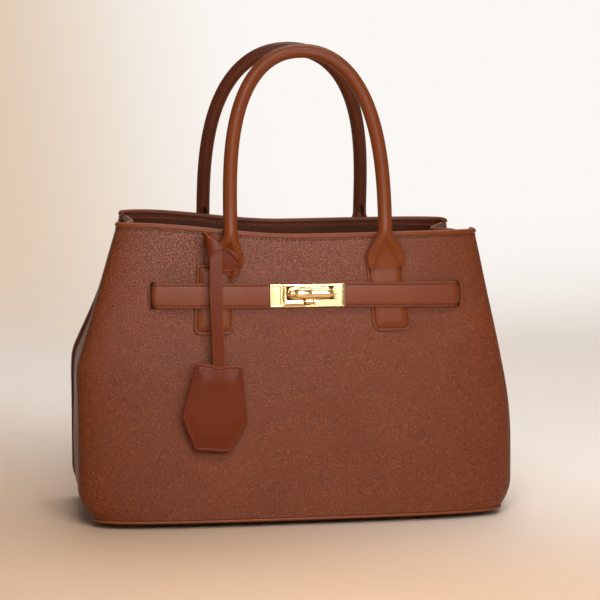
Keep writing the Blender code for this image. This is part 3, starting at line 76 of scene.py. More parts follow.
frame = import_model()
LOG = logging.getLogger("tote")
MM = 0.001
TINY = 0.02 * MM           # radius left at a pole, so that its ring doesn't collapse
FLAT = np.array([1.0, 1.0, 0.0])
UP = np.array([0.0, 0.0, 1.0])
MIRROR = np.array([-1.0, 1.0])
Array = np.ndarray
Node = bpy.types.Node
Piece = bpy.types.Object
Socket = bpy.types.NodeSocket
Tree = bpy.types.NodeTree


class Named(Enum):
    """A choice whose name is part of the names of pieces."""

    @property
    def word(self) -> str:
        """Name used in piece names."""
        return self.name.lower()


class Side(Named):
    """Left or right of the bag, as seen from its front; the value is the sign of X."""

    LEFT = -1
    RIGHT = 1


class Face(Named):
    """Front or back of the bag; the value is the sign of Y."""

    FRONT = -1
    BACK = 1


class Slot(Enum):
    """Material slots of the record."""

    PEBBLED = "pebbled_leather"
    SMOOTH = "smooth_leather"
    TAG = "tag_leather"
    SUEDE = "lining_suede"
    GOLD = "gold_plate"
    BOARD = "leatherboard"
    CORD = "handle_cord"


# Numbers and curves


def joined(*parts: Array) -> Array:
    """Coordinates given apart, spread to one size and joined into points."""
    return np.stack(np.broadcast_arrays(*parts), axis=-1)


def unit(vectors: Array) -> Array:
    """Vectors scaled to length one."""
    return vectors / (np.linalg.norm(vectors, axis=-1, keepdims=True) + 1e-12)


def smooth_step(share: Array) -> Array:
    """Ease from 0 to 1: three times the square less twice the cube."""
    q = np.clip(share, 0.0, 1.0)
    return q * q * (3 - 2 * q)


def soft_ramp(share: Array, soft: float = 0.30) -> Array:
    """Climb from 0 to 1: a parabola over the soft stretch, then a straight line.

    Args:
        share: how far along the climb, 0 or less at its foot.
        soft: length of the soft stretch.

    Returns:
        Height at each share.
    """
    q = np.clip(share, 0.0, None)
    rise = np.where(q < soft, q * q / (2 * soft), q - soft / 2)
    return rise / (1 - soft / 2)


def signed_power(value: Array, power: Array) -> Array:
    """Size of a value to a power, with the value's own sign."""
    return np.sign(value) * np.abs(value) ** power


def quarter_round(into: Array, radius: float) -> Array:
    """Height of a rounded edge, as a share of its radius, at a distance in from it."""
    edge = np.clip(into / radius, 0.0, 1.0)
    return np.sqrt(edge * (2 - edge))


def bell(distance: Array, width: float) -> Array:
    """Bell curve: the exponential of minus the square of distance by width."""
    return np.exp(-(distance / width) ** 2)


def worn_edge(into: Array) -> Array:
    """Wear of an edge, 1 on it and fading out over 0.7 mm."""
    return np.clip(1 - into / (0.7 * MM), 0.0, 1.0)


def run_of(points: Array) -> Array:
    """Length along a line at each of its points, from 0."""
    steps = np.linalg.norm(np.diff(points, axis=0), axis=1)
    return np.concatenate([[0.0], np.cumsum(steps)])


def look_up(at: Array, length: Array, points: Array) -> Array:
    """Points at given lengths along a line, straight between its own points."""
    return np.stack([np.interp(at, length, column) for column in points.T], axis=-1)


def resample(points: Array, fractions: Array) -> Array:
    """Points at fractions of a line's whole length."""
    length = run_of(points)
    return look_up(np.asarray(fractions) * length[-1], length, points)


def averaged(points: Array, weights: Array) -> Array:
    """Each run of neighbours replaced by its weighted mean, as many fewer as it needs."""
    return np.stack([np.convolve(column, weights, "valid") for column in points.T], axis=-1)


def through(points: Array, count: int) -> Array:
    """Smooth curve through chosen points.

    Each stretch is the cubic that meets its two ends with the slopes of the lines
    between their neighbours.

    Args:
        points: the points, one a row.
        count: how many points to return, evenly spread over the stretches.

    Returns:
        Points on the curve, one a row.
    """
    given = np.asarray(points, float)
    held = np.concatenate([2 * given[:1] - given[1:2], given, 2 * given[-1:] - given[-2:-1]])
    at = np.linspace(0, len(given) - 1, count)
    k = np.minimum(at.astype(int), len(given) - 2)
    t = (at - k)[:, None]
    a, b, c, d = (held[k + i] for i in range(4))
    cubic = (2 * b + (c - a) * t + (2 * a - 5 * b + 4 * c - d) * t ** 2
             + (3 * b - a - 3 * c + d) * t ** 3)
    return cubic / 2


def whole_turn(count: int) -> Array:
    """Angles once round a circle, without the last."""
    return np.linspace(0.0, 2 * math.pi, count, endpoint=False)


def spread(count: int, ease: float = 0.55) -> Array:
    """Fractions 0 to 1 that lie closer together at both ends: a line mixed with a cosine."""
    even = np.linspace(0.0, 1.0, count)
    return (1 - ease) * even + ease * (0.5 - 0.5 * np.cos(math.pi * even))


def surface_normals(grid: Array, toward: Array, wrap: bool = False) -> Array:
    """Unit normals of a grid of points.

    The cross product of the differences along columns and rows, turned as a whole so
    that it points to the side that `toward` names.

    Args:
        grid: rows by columns by 3 points.
        toward: a vector, or one for each point, on the side the normals face.
        wrap: whether the last column joins the first.

    Returns:
        One unit vector for each point.
    """
    across = np.gradient(grid, axis=1)
    if wrap:
        across = np.roll(grid, -1, axis=1) - np.roll(grid, 1, axis=1)
    out = unit(np.cross(across, np.gradient(grid, axis=0)))
    return out * np.sign(np.sum(out * toward))


def ring_heading(points: Array) -> Array:
    """Direction along a closed line at each of its points."""
    return unit(np.roll(points, -1, axis=0) - np.roll(points, 1, axis=0))


def beside(centre: Array, first: Array, second: Array, a: Array, b: Array) -> Array:
    """Section carried along a line.

    Each point is its centre plus `a` times the first direction plus `b` times the second.

    Args:
        centre: points of the line.
        first: one direction for each of them.
        second: another, square to it.
        a: the section's places along the first, one row for all or one a centre.
        b: the same along the second.

    Returns:
        Rings by points by 3.
    """
    a, b = np.atleast_2d(a)[..., None], np.atleast_2d(b)[..., None]
    return centre[:, None] + a * first[:, None] + b * second[:, None]


def stacked(layers: list[tuple[Array, Array]]) -> Array:
    """Rings of points from flat outlines, each with its height or heights."""
    return np.stack([np.column_stack([line, np.broadcast_to(height, len(line))])
                     for line, height in layers])


# Shapes and meshes


def quads(rows: int, columns: int, start: int = 0, wrap_rows: bool = False,
          wrap_columns: bool = False) -> Array:
    """Corner numbers of the faces of a grid of points.

    Args:
        rows: rows of points.
        columns: points in a row.
        start: number of the first point.
        wrap_rows: whether the last row joins the first.
        wrap_columns: whether the last column joins the first.

    Returns:
        Four numbers a face.
    """
    r = np.arange(rows if wrap_rows else rows - 1)[:, None]
    c = np.arange(columns if wrap_columns else columns - 1)[None, :]
    below, right = (r + 1) % rows, (c + 1) % columns
    corners = [r * columns + c, r * columns + right, below * columns + right,
               below * columns + c]
    return start + np.stack(corners, axis=-1).reshape(-1, 4)


@dataclass
class Shape:
    """Points, four-cornered faces, caps with any number of corners, and edge wear."""

    points: Array
    faces: Array
    caps: list = field(default_factory=list)
    edge: Array | None = None

    def __add__(self, other: "Shape") -> "Shape":
        """Both shapes together as separate shells."""
        shift = len(self.points)
        caps = self.caps + [[corner + shift for corner in cap] for cap in other.caps]
        return Shape(np.concatenate([self.points, other.points]),
                     np.concatenate([self.faces, other.faces + shift]), caps,
                     np.concatenate([self.wear(), other.wear()]))

    def wear(self) -> Array:
        """Edge wear of each point, 0 where none was given."""
        return np.zeros(len(self.points)) if self.edge is None else self.edge

    def carried(self, place: Array) -> "Shape":
        """The shape moved into a 3 by 4 frame, whose last column is its origin."""
        return Shape(self.points @ place[:, :3].T + place[:, 3], self.faces, self.caps, self.edge)


def sum_shapes(shapes: list[Shape]) -> Shape:
    """All the shapes as one."""
    return sum(shapes[1:], shapes[0])


def slab(outer: Array, inner: Array, wrap: bool = False, edge: Array | None = None) -> Shape:
    """Closed solid between two matching grids.

    Both grids become faces, and a strip joins them all round, or at the first and last
    rows where the columns wrap.

    Args:
        outer: rows by columns by 3 points.
        inner: as many points on the other side.
        wrap: whether the last column joins the first.
        edge: wear of each outer point, also given to its inner one.

    Returns:
        The solid.
    """
    rows, columns = outer.shape[:2]
    count = rows * columns
    index = np.arange(count).reshape(rows, columns)
    if wrap:
        a = np.concatenate([index[0], index[-1]])
        b = np.concatenate([np.roll(index[0], -1), np.roll(index[-1], -1)])
    else:
        a = np.concatenate([index[0], index[1:, -1], index[-1, -2::-1], index[-2:0:-1, 0]])
        b = np.roll(a, -1)
    faces = [quads(rows, columns, wrap_columns=wrap),
             quads(rows, columns, count, wrap_columns=wrap),
             joined(a, b, b + count, a + count)]
    points = np.concatenate([outer.reshape(-1, 3), inner.reshape(-1, 3)])
    worn = None if edge is None else np.tile(edge.reshape(-1), 2)
    return Shape(points, np.concatenate(faces), [], worn)


def tube(rings: Array, closed: bool = False, edge: Array | None = None) -> Shape:
    """Solid through rings of points.

    Args:
        rings: stations by points by 3.
        closed: whether the last ring joins the first; otherwise both ends are capped.
        edge: wear of each point, or of each point of a section.

    Returns:
        The solid.
    """
    stations, sides = rings.shape[:2]
    last = (stations - 1) * sides
    caps = [] if closed else [list(range(sides)), list(range(last, last + sides))]
    worn = None if edge is None else np.broadcast_to(edge, (stations, sides)).reshape(-1)
    return Shape(rings.reshape(-1, 3), quads(stations, sides, 0, closed, True), caps, worn)


def turned(profile: Array, sides: int = 32) -> Array:
    """Rings of a turned shape about local X: radius and place along X, swept in a circle."""
    turn = whole_turn(sides)
    radius, along = np.asarray(profile)[:, :1], np.asarray(profile)[:, 1:2]
    return joined(along, radius * np.cos(turn), radius * np.sin(turn))


def box_shape(half: Array) -> Shape:
    """Box about the origin, as a tube of two square rings."""
    square = np.array([[-1, -1], [1, -1], [1, 1], [-1, 1]]) * half[:2]
    return tube(stacked([(square, -half[2]), (square, half[2])]))


def make_piece(name: str, shape: Shape, crisp: float = 40.0) -> Piece:
    """Mesh object at the origin with its faces pointing out.

    Args:
        name: the piece's name.
        shape: its points and faces in place.
        crisp: edges that bend by more degrees than this stay sharp.

    Returns:
        The linked object.
    """
    mesh = bpy.data.meshes.new(name)
    mesh.from_pydata(shape.points.tolist(), [], shape.faces.tolist() + shape.caps)
    work = bmesh.new()
    work.from_mesh(mesh)
    bmesh.ops.recalc_face_normals(work, faces=work.faces)
    work.to_mesh(mesh)
    work.free()
    mesh.shade_smooth()
    mesh.set_sharp_from_angle(angle=math.radians(crisp))
    worn = mesh.attributes.new("edge_wear", "FLOAT", "POINT")
    worn.data.foreach_set("value", shape.wear().astype(np.float32))
    piece = bpy.data.objects.new(name, mesh)
    bpy.context.scene.collection.objects.link(piece)
    return piece


def cut_out(piece: Piece, shape: Shape, crisp: float = 40.0) -> None:
    """Cut a closed shape out of a piece for good, with an exact Boolean.

    Args:
        piece: what is cut.
        shape: what is taken away.
        crisp: edges that bend by more degrees than this stay sharp.
    """
    cutter = make_piece("cutter", shape)
    modifier = piece.modifiers.new("cut", "BOOLEAN")
    modifier.object = cutter
    graph = bpy.context.evaluated_depsgraph_get()
    mesh = bpy.data.meshes.new_from_object(piece.evaluated_get(graph))
    piece.modifiers.clear()
    piece.data = mesh
    bpy.data.objects.remove(cutter, do_unlink=True)
    mesh.shade_smooth()
    mesh.set_sharp_from_angle(angle=math.radians(crisp))


def dress(piece: Piece, finish: "Finish", nodes: tuple[str, ...] = (), body: str = "bag",
          bend: tuple | None = None) -> Piece:
    """Give a piece its finish and its body, and report it.

    Args:
        piece: the finished mesh.
        finish: what it is made of.
        nodes: the CAD nodes it stands for.
        body: the CAD body it rides on.
        bend: two bodies and two points of a joint; when given, the piece's place is baked in, it
            goes on no body, and the two bodies are logged.

    Returns:
        The same piece.
    """
    piece.data.materials.clear()
    piece.data.materials.append(finish.material())
    if nodes:
        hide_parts(*nodes)
    if bend:
        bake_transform(piece)
    else:
        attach(piece, body)
    LOG.info("%s: %d faces on %s", piece.name, len(piece.data.polygons), bend[:2] if bend else body)
    return piece


def add_piece(name: str, shape: Shape, finish: "Finish", nodes: tuple[str, ...] = (),
              body: str = "bag", bend: tuple | None = None, crisp: float = 40.0) -> Piece:
    """Make a piece from a shape and dress it, as above."""
    return dress(make_piece(name, shape, crisp), finish, nodes, body, bend)


# Finishes


def linear(code: str) -> tuple[float, float, float, float]:
    """sRGB hex code as linear red, green, blue and alpha."""
    parts = [int(code[i:i + 2], 16) / 255 for i in (1, 3, 5)]
    bent = [p / 12.92 if p <= 0.04045 else ((p + 0.055) / 1.055) ** 2.4 for p in parts]
    return (*bent, 1.0)


def plug(tree: Tree, node: Node, inputs: dict) -> None:
    """Fill a node's inputs.

    Args:
        tree: the node tree.
        node: the node.
        inputs: a value, a socket or a node whose first output it takes, by name or number.
    """
    for key, value in inputs.items():
        source = value.outputs[0] if isinstance(value, Node) else value
        if isinstance(source, Socket):
            tree.links.new(source, node.inputs[key])
        else:
            node.inputs[key].default_value = source


def add_node(tree: Tree, kind: str, inputs: dict | None = None, **settings: object) -> Node:
    """Add a node to a tree.

    Args:
        tree: the node tree.
        kind: the node's type, without the words Shader Node.
        inputs: what fills its inputs.
        settings: the node's own properties.

    Returns:
        The node.
    """
    node = tree.nodes.new("ShaderNode" + kind)
    for key, value in settings.items():
        setattr(node, key, value)
    plug(tree, node, inputs or {})
    return node


MIX_FACTOR, MIX_A, MIX_B, MIX_COLOUR = 0, 6, 7, 2    # sockets of a colour Mix node


@dataclass(frozen=True)
class Finish:
    """What a surface is made of; the subclasses wire its nodes."""

    name: str
    slot: Slot

    def material(self) -> bpy.types.Material:
        """The finish's material, made once."""
        known = bpy.data.materials.get(self.name)
        if known:
            return known
        material = bpy.data.materials.new(self.name)
        material.use_nodes = True
        tree = material.node_tree
        at = add_node(tree, "TexCoord").outputs["Object"]
        self.wire(tree, at, tree.nodes["Principled BSDF"])
        return material

    def wire(self, tree: Tree, at: Socket, shader: Node) -> None:
        """Wire the nodes that feed the shader, from places in metres."""
        raise NotImplementedError

    @staticmethod
    def noise(tree: Tree, at: Socket, size_mm: float, low: float = 0.0, high: float = 1.0,
              detail: float = 2.0) -> Socket:
        """Noise with features of a real size.

        Args:
            tree: the node tree.
            at: places in metres.
            size_mm: size of its features.
            low: value where the noise is lowest.
            high: value where it is highest.
            detail: how many finer layers it has.

        Returns:
            The value.
        """
        grain = add_node(tree, "TexNoise",
                         {"Vector": at, "Scale": 1 / (size_mm * MM), "Detail": detail})
        return add_node(tree, "MapRange", {"Value": grain, "From Min": 0.3, "From Max": 0.7,
                                           "To Min": low, "To Max": high}).outputs[0]

    @staticmethod
    def tinted(tree: Tree, share: Socket, first: str, last: str,
               tone: Socket | None = None) -> Socket:
        """Colour between two hex codes, lighter and darker with a slow tone."""
        paint = add_node(tree, "Mix", {MIX_FACTOR: share, MIX_A: linear(first),
                                       MIX_B: linear(last)}, data_type="RGBA")
        if tone is None:
            return paint.outputs[MIX_COLOUR]
        return add_node(tree, "HueSaturation", {"Color": paint.outputs[MIX_COLOUR],
                                                "Value": tone}).outputs[0]

    @staticmethod
    def feed(tree: Tree, shader: Node, height: Socket, depth_mm: float, strength: float,
             inputs: dict) -> None:
        """Fill the shader's inputs and give it a relief of a real depth.

        Args:
            tree: the node tree.
            shader: the shader.
            height: the relief, 0 to about 1.
            depth_mm: its depth.
            strength: how much of it is felt.
            inputs: what fills the other inputs.
        """
        bump = add_node(tree, "Bump", {"Height": height, "Strength": strength,
                                       "Distance": depth_mm * MM})
        plug(tree, shader, {"Normal": bump, **inputs})


@dataclass(frozen=True)
class PebbledLeather(Finish):
    """Cowhide shrunk or embossed into pebbles, given drum dye and a light wax.

    The grain stands in small domes with narrow creases.  The creases are darker, partly the dye that
    lies in them and partly painted shade.  The crowns of random pebbles are mixed paler, partly the
    wax and handling and partly painted glints, and the crowns are a little glossier.  The tone
    drifts over a few centimetres because hides aren't even.
    """

    # crease and crown: colour of the darker creases, partly painted shade, and of the paler crowns,
    # partly painted glints
    crease: str = "#552206"
    body: str = "#6F300C"
    crown: str = "#7C3E18"
    cell_mm: float = 1.8
    relief_mm: float = 0.125

    def wire(self, tree: Tree, at: Socket, shader: Node) -> None:
        """Wire pebbles from a warped Voronoi, their colour, gloss and relief."""
        warp = add_node(tree, "TexNoise",
                        {"Vector": at, "Scale": 1 / (3 * self.cell_mm * MM), "Detail": 2.0})
        reach = 0.9 * self.cell_mm * MM
        bent = add_node(tree, "VectorMath", {0: warp.outputs["Color"], 1: (reach,) * 3, 2: at},
                        operation="MULTIPLY_ADD")
        pebbles = {"Vector": bent, "Scale": 1 / (self.cell_mm * MM)}
        seams = add_node(tree, "TexVoronoi", pebbles, feature="DISTANCE_TO_EDGE")
        dome = add_node(tree, "MapRange", {"Value": seams.outputs["Distance"], "From Max": 0.20},
                        interpolation_type="SMOOTHSTEP")
        pores = self.noise(tree, at, 0.35, 0.0, 0.22)
        height = add_node(tree, "Math", {0: dome, 1: pores}, operation="ADD")
        patch = self.noise(tree, at, 7.0, 0.82, 1.0)
        relief = add_node(tree, "Math", {0: height, 1: patch}, operation="MULTIPLY")
        cell = add_node(tree, "TexVoronoi", pebbles)
        lone = add_node(tree, "MapRange", {"Value": cell.outputs["Color"], "From Min": 0.55,
                                           "From Max": 0.95, "To Max": 0.9})
        crown = add_node(tree, "Math", {0: lone, 1: relief}, operation="MULTIPLY")
        # Painted shade: the creases are mixed darker, partly dye and partly painted shade
        crease_shade_and_dye = self.tinted(tree, dome.outputs[0], self.crease, self.body)
        # Painted highlight: random crowns are mixed paler, partly wax and partly painted glints
        crown_wax_and_glint = add_node(tree, "Mix", {MIX_FACTOR: crown, MIX_A: crease_shade_and_dye, MIX_B: linear(self.crown)},
                         data_type="RGBA")
        drift = add_node(tree, "HueSaturation", {"Color": crown_wax_and_glint.outputs[MIX_COLOUR],
                                                 "Value": self.noise(tree, at, 42.0, 0.93, 1.07)})
        gloss = add_node(tree, "MapRange", {"Value": relief, "From Max": 1.1, "To Min": 0.56,
                                            "To Max": 0.33})
        self.feed(tree, shader, relief.outputs[0], self.relief_mm, 1.0,
                  {"Base Color": drift, "Roughness": gloss, "Specular IOR Level": 0.34})


@dataclass(frozen=True)
class SmoothLeather(Finish):
    """Calf with its grain ironed flat, edges cut, painted and burnished.

    The face is even and satin, with pores too fine to see and a slow drift of tone.
    The painted edges are paler and catch the light as thin lines.
    """

    body: str = "#6C310F"
    edge: str = "#824424"
    gloss: float = 0.40
    grain_mm: float = 0.9

    def wire(self, tree: Tree, at: Socket, shader: Node) -> None:
        """Wire tone, edge paint, a faint grain and the satin gloss."""
        worn = add_node(tree, "Attribute", attribute_name="edge_wear")
        drift = self.tinted(tree, worn.outputs["Fac"], self.body, self.edge,
                            self.noise(tree, at, 24.0, 0.94, 1.06))
        satin = self.noise(tree, at, 5.0, self.gloss - 0.04, self.gloss + 0.05)
        self.feed(tree, shader, self.noise(tree, at, self.grain_mm, detail=3.0), 0.03, 0.5,
                  {"Base Color": drift, "Roughness": satin, "Specular IOR Level": 0.22})


@dataclass(frozen=True)
class Suede(Finish):
    """Split leather with a brushed nap: matt, dark, with faint lighter strokes."""

    body: str = "#4A2A1B"
    nap: str = "#6A412C"

    def wire(self, tree: Tree, at: Socket, shader: Node) -> None:
        """Wire nap strokes and fibres."""
        stroke = self.noise(tree, at, 9.0, detail=4.0)
        self.feed(tree, shader, self.noise(tree, at, 0.5, detail=3.0), 0.1, 0.6,
                  {"Base Color": self.tinted(tree, stroke, self.body, self.nap),
                   "Roughness": 0.92, "Sheen Weight": 0.25})


@dataclass(frozen=True)
class GoldPlate(Finish):
    """Cast zinc, polished and plated in pale gold under clear lacquer.

    It mirrors the room softly, with hairline marks from handling.
    """

    body: str = "#F8DFA8"

    def wire(self, tree: Tree, at: Socket, shader: Node) -> None:
        """Wire hairlines into the gloss and a very slight waviness."""
        self.feed(tree, shader, self.noise(tree, at, 4.0), 0.05, 0.25,
                  {"Base Color": linear(self.body), "Metallic": 1.0,
                   "Roughness": self.noise(tree, at, 0.6, 0.10, 0.19, 3.0)})


@dataclass(frozen=True)
class WaxedThread(Finish):
    """Three-ply polyester thread with a light wax: a dull shine with a twist along it.  Its very
    dark colour is partly the thread's and partly painted shade.
    """

    # Very dark: partly the thread's own colour, partly painted shade for the stitch holes and the
    # line under the bindings
    body: str = "#30120A"
    ply: str = "#4E2314"
    ply_mm: float = 2.2        # the real plies lie 0.4 mm apart, too fine to show

    def wire(self, tree: Tree, at: Socket, shader: Node) -> None:
        """Wire the plies as slanting bands."""
        twist = add_node(tree, "TexWave", {"Vector": at, "Scale": 1 / (self.ply_mm * MM)},
                         bands_direction="DIAGONAL").outputs["Fac"]
        self.feed(tree, shader, twist, 0.08, 0.5,
                  {"Base Color": self.tinted(tree, twist, self.body, self.ply),
                   "Roughness": 0.55})


@dataclass(frozen=True)
class Fibre(Finish):
    """Raw fibrous stuff, such as leatherboard or cotton cord: matt with pale flecks."""

    body: str = "#72695F"
    fleck: str = "#8B8276"
    fleck_mm: float = 1.2

    def wire(self, tree: Tree, at: Socket, shader: Node) -> None:
        """Wire flecks into colour and relief."""
        fleck = self.noise(tree, at, self.fleck_mm, detail=4.0)
        self.feed(tree, shader, fleck, 0.15, 0.6,
                  {"Base Color": self.tinted(tree, fleck, self.body, self.fleck),
                   "Roughness": 0.9})


PEBBLED = PebbledLeather("pebbled_cowhide", Slot.PEBBLED)
SMOOTH = SmoothLeather("ironed_calf", Slot.SMOOTH)
# Painted shade: a darker copy of the calf for the back handle, the back binding and the gusset
# bindings, which lie in shade
SHADE_PAINTED_CALF = SmoothLeather("back_handle_calf", Slot.SMOOTH, "#56240E", "#703A20", 0.46)
# Painted shade: the facing inside the mouth is a darker copy of the calf, for the shade it lies in
FACING = SmoothLeather("facing_calf", Slot.SMOOTH, "#48200C", "#66341C", 0.50)
STRAP = SmoothLeather("belt_calf", Slot.SMOOTH, "#6C3115", "#804424", 0.44)
TAG_CALF = SmoothLeather("tag_calf", Slot.TAG, "#5C2002", "#7C3C1C", 0.46)
SUEDE = Suede("brushed_suede", Slot.SUEDE)
GOLD = GoldPlate("pale_gold_plate", Slot.GOLD)
THREAD = WaxedThread("waxed_thread", Slot.SMOOTH)
BOARD = Fibre("leatherboard", Slot.BOARD)
CORD = Fibre("dyed_cotton_cord", Slot.CORD, "#5E3A28", "#7A5540", 0.8)


# Stitching


@dataclass(frozen=True)
class Stitching:
    """Lockstitch in thick thread: short capsules that dip into the leather at both ends."""

    pitch: float = 3.3 * MM
    length: float = 2.3 * MM
    thread: float = 0.42 * MM
    lift: float = 0.26 * MM
    slant: float = 0.12
    rings: int = 5
    sides: int = 6

    def row(self, line: Array, out: Array) -> Shape:
        """Stitches along a line.

        Each is a half sine arch along the line, with a thread whose radius follows the
        same sine, turned a little to one side as a lockstitch lies.

        Args:
            line: points along the seam, on the leather's surface.
            out: outward directions at those points.

        Returns:
            All the stitches as separate shells.
        """
        length = run_of(line)
        count = max(1, int(length[-1] / self.pitch))
        middle = (np.arange(count) + 0.5) * length[-1] / count
        centre, up = look_up(middle, length, line), look_up(middle, length, out)
        along = unit(look_up(middle + MM, length, line) - look_up(middle - MM, length, line))
        up = unit(up - along * np.sum(up * along, axis=-1, keepdims=True))
        along = unit(along + self.slant * np.cross(up, along))
        side = np.cross(up, along)
        arch = np.linspace(0.0, math.pi, self.rings)[:, None]
        turn = whole_turn(self.sides)[None, :]
        radius = self.thread * (0.45 + 0.55 * np.sin(arch))
        a = -np.cos(arch) * self.length / 2 + 0 * turn
        h = np.sin(arch) * self.lift + radius * np.sin(turn)
        s = radius * np.cos(turn)
        points = (centre[:, None, None] + a[..., None] * along[:, None, None]
                  + h[..., None] * up[:, None, None] + s[..., None] * side[:, None, None])
        each = self.rings * self.sides
        faces = quads(self.rings, self.sides, wrap_columns=True)
        start = np.arange(count)[:, None, None] * each
        ends = np.stack([np.arange(self.sides), each - self.sides + np.arange(self.sides)])
        caps = (ends[None] + start).reshape(-1, self.sides).tolist()
        return Shape(points.reshape(-1, 3), (faces[None] + start).reshape(-1, 4), caps)


STITCH = Stitching()


# The bag's walls


@dataclass(frozen=True)
class Wall:
    """Formulas of the bag's body: the panels' outer face and the gussets' fold.

    Heights are fractions `up` from the walls' lower edge to the mouth.  In plan a panel
    is half a superellipse; the gussets fold inward towards the mouth, which draws the
    two panels together at their sides.
    """

    base_width: float = 0.3464
    rim_left: float = 0.1417
    rim_right: float = 0.1412
    back_left: float = 0.0085
    back_right: float = 0.0066
    back_start: float = 0.42
    back_length: float = 0.35
    slump: float = 0.0020
    base_depth: float = 0.1500
    rim_depth: float = 0.1180
    rim_middle: float = 0.2270
    rise_left: float = 0.0100
    rise_right: float = 0.0007
    shoulder_left: float = 0.49
    shoulder_right: float = 0.25
    soft_left: float = 0.10
    soft_right: float = 0.30
    tuck_left: float = 0.0115
    tuck_right: float = 0.0080
    tuck_height: float = 0.0220
    squareness_base: float = 3.4
    squareness_rim: float = 2.7
    flank: float = 0.0410
    fold_left: float = math.radians(12.0)
    fold_right: float = math.radians(33.0)
    fold_start: float = 0.45
    crease_round: float = 0.26
    crease_shift: float = 0.30
    bulge: float = 0.0025
    drop: float = 0.0020
    lap: float = 0.0060
    bottom: float = 0.0079
    leather: float = 0.0018
    gap: float = 0.0003
    binding_leg: float = 0.0016

    def rim(self, across: Array) -> Array:
        """Height of the mouth: its middle plus an eased rise towards each corner."""
        rise = np.where(np.asarray(across) < 0, self.rise_left, self.rise_right)
        return self.rim_middle + rise * smooth_step(np.abs(across) / 0.94)

    def half_width(self, up: Array, side: Array, back: Array = 0.0) -> Array:
        """Half width: full below the shoulder, drawn in by a soft ramp, tucked at the base.

        Args:
            up: fractions of the height.
            side: -1 for the left, 1 for the right.
            back: 0 on the front panel, 1 on the back one, which is narrower at the mouth.

        Returns:
            Distance from the middle.
        """
        left = np.asarray(side) < 0
        start = np.where(left, self.shoulder_left, self.shoulder_right)
        soft = np.where(left, self.soft_left, self.soft_right)
        base = self.base_width / 2 + np.where(left, self.slump, -self.slump)
        rim = np.where(left, self.rim_left, self.rim_right)
        width = base - (base - rim) * soft_ramp((np.asarray(up) - start) / (1 - start), soft)
        above = np.asarray(up) * (self.rim_middle - self.bottom)
        tuck = np.clip(1 - above / self.tuck_height, 0.0, 1.0)
        width = width - np.where(left, self.tuck_left, self.tuck_right) * tuck ** 2
        draw = np.where(left, self.back_left, self.back_right) * back
        return width - draw * smooth_step((np.asarray(up) - self.back_start) / self.back_length)

    @staticmethod
    def back_share(y: Array, half: Array) -> Array:
        """Share of the way from the front seam to the back one, eased at both."""
        return smooth_step((y / half + 1) / 2)

    def angle(self, up: Array, side: Array) -> Array:
        """How far each half of a gusset has folded in."""
        share = (np.asarray(up) - self.fold_start) / (1 - self.fold_start)
        return np.where(np.asarray(side) < 0, self.fold_left, self.fold_right) * soft_ramp(share)

    def opening(self, up: Array, side: Array) -> Array:
        """Half of the depth between the two panels' edges."""
        return self.flank * np.cos(self.angle(up, side))

    def crease(self, q: Array) -> Array:
        """Shape of the fold, 1 at the crease and 0 at the seams: a hyperbola, set forward."""
        q = np.clip(q, -1.0, 1.0)
        q = q + self.crease_shift * (1 - q * q)
        far = math.sqrt(1 + self.crease_round ** 2)
        return (far - np.sqrt(q ** 2 + self.crease_round ** 2)) / (far - self.crease_round)

    def mid_depth(self, up: Array) -> Array:
        """Half depth at the middle, straight from base to mouth."""
        return self.base_depth / 2 + (self.rim_depth - self.base_depth) / 2 * np.asarray(up)

    def squareness(self, up: Array) -> Array:
        """Power of the plan's superellipse."""
        change = self.squareness_rim - self.squareness_base
        return self.squareness_base + change * np.asarray(up)

    def point(self, x: Array, z: Array, face: int) -> Array:
        """Points on a panel's outer face, whose height fraction is found in a few rounds.

        Args:
            x: places across.
            z: heights.
            face: -1 for the front, 1 for the back.

        Returns:
            The points.
        """
        x, z = np.broadcast_arrays(np.asarray(x, float), np.asarray(z, float))
        up = np.full(x.shape, 0.5)
        for _ in range(6):
            width = self.half_width(up, np.sign(x), face > 0)
            across = np.clip(x / width, -1.0, 1.0)
            up = (z - self.bottom) / (self.rim(across) - self.bottom)
        power = self.squareness(up)
        corner = self.opening(up, np.sign(x)) + self.lap
        depth = corner + (self.mid_depth(up) - corner) * (
            1 - np.abs(across) ** power) ** (1 / power)
        return joined(x, face * depth, z)

    def normal(self, x: Array, z: Array, face: int) -> Array:
        """Outward directions at the same places, from differences over half a millimetre."""
        step = 0.5 * MM
        along = self.point(x + step, z, face) - self.point(x - step, z, face)
        rise = self.point(x, z + step, face) - self.point(x, z - step, face)
        return unit(np.cross(along, rise) * -face)

    def off(self, x: Array, z: Array, face: int, offset: Array) -> Array:
        """Point at a distance outside a panel's outer face."""
        x, z, offset = np.broadcast_arrays(x, z, offset)
        return self.point(x, z, face) + self.normal(x, z, face) * offset[..., None]

    def frame_at(self, x: float, z: float, face: int) -> Array:
        """Frame on a panel as 3 by 4 numbers: across, up, out and the point."""
        point = self.point(np.array(x), np.array(z), face)
        out = self.normal(np.array(x), np.array(z), face)
        rise = unit(UP - out * out[2])
        return joined(np.cross(rise, out), rise, out, point)

    def plan_turns(self, count: int) -> Array:
        """Angles of the superellipse that are evenly spaced along it halfway up."""
        turn = np.linspace(0.0, math.pi, 6001)
        power = float(self.squareness(0.5))
        x = -signed_power(np.cos(turn), 2 / power)
        y = np.abs(np.sin(turn)) ** (2 / power)
        size = [self.base_width / 2, float(self.mid_depth(0.5) - self.opening(0.5, 1))]
        length = run_of(joined(x, y) * size)
        return np.interp(spread(count, 0.35) * length[-1], length, turn)

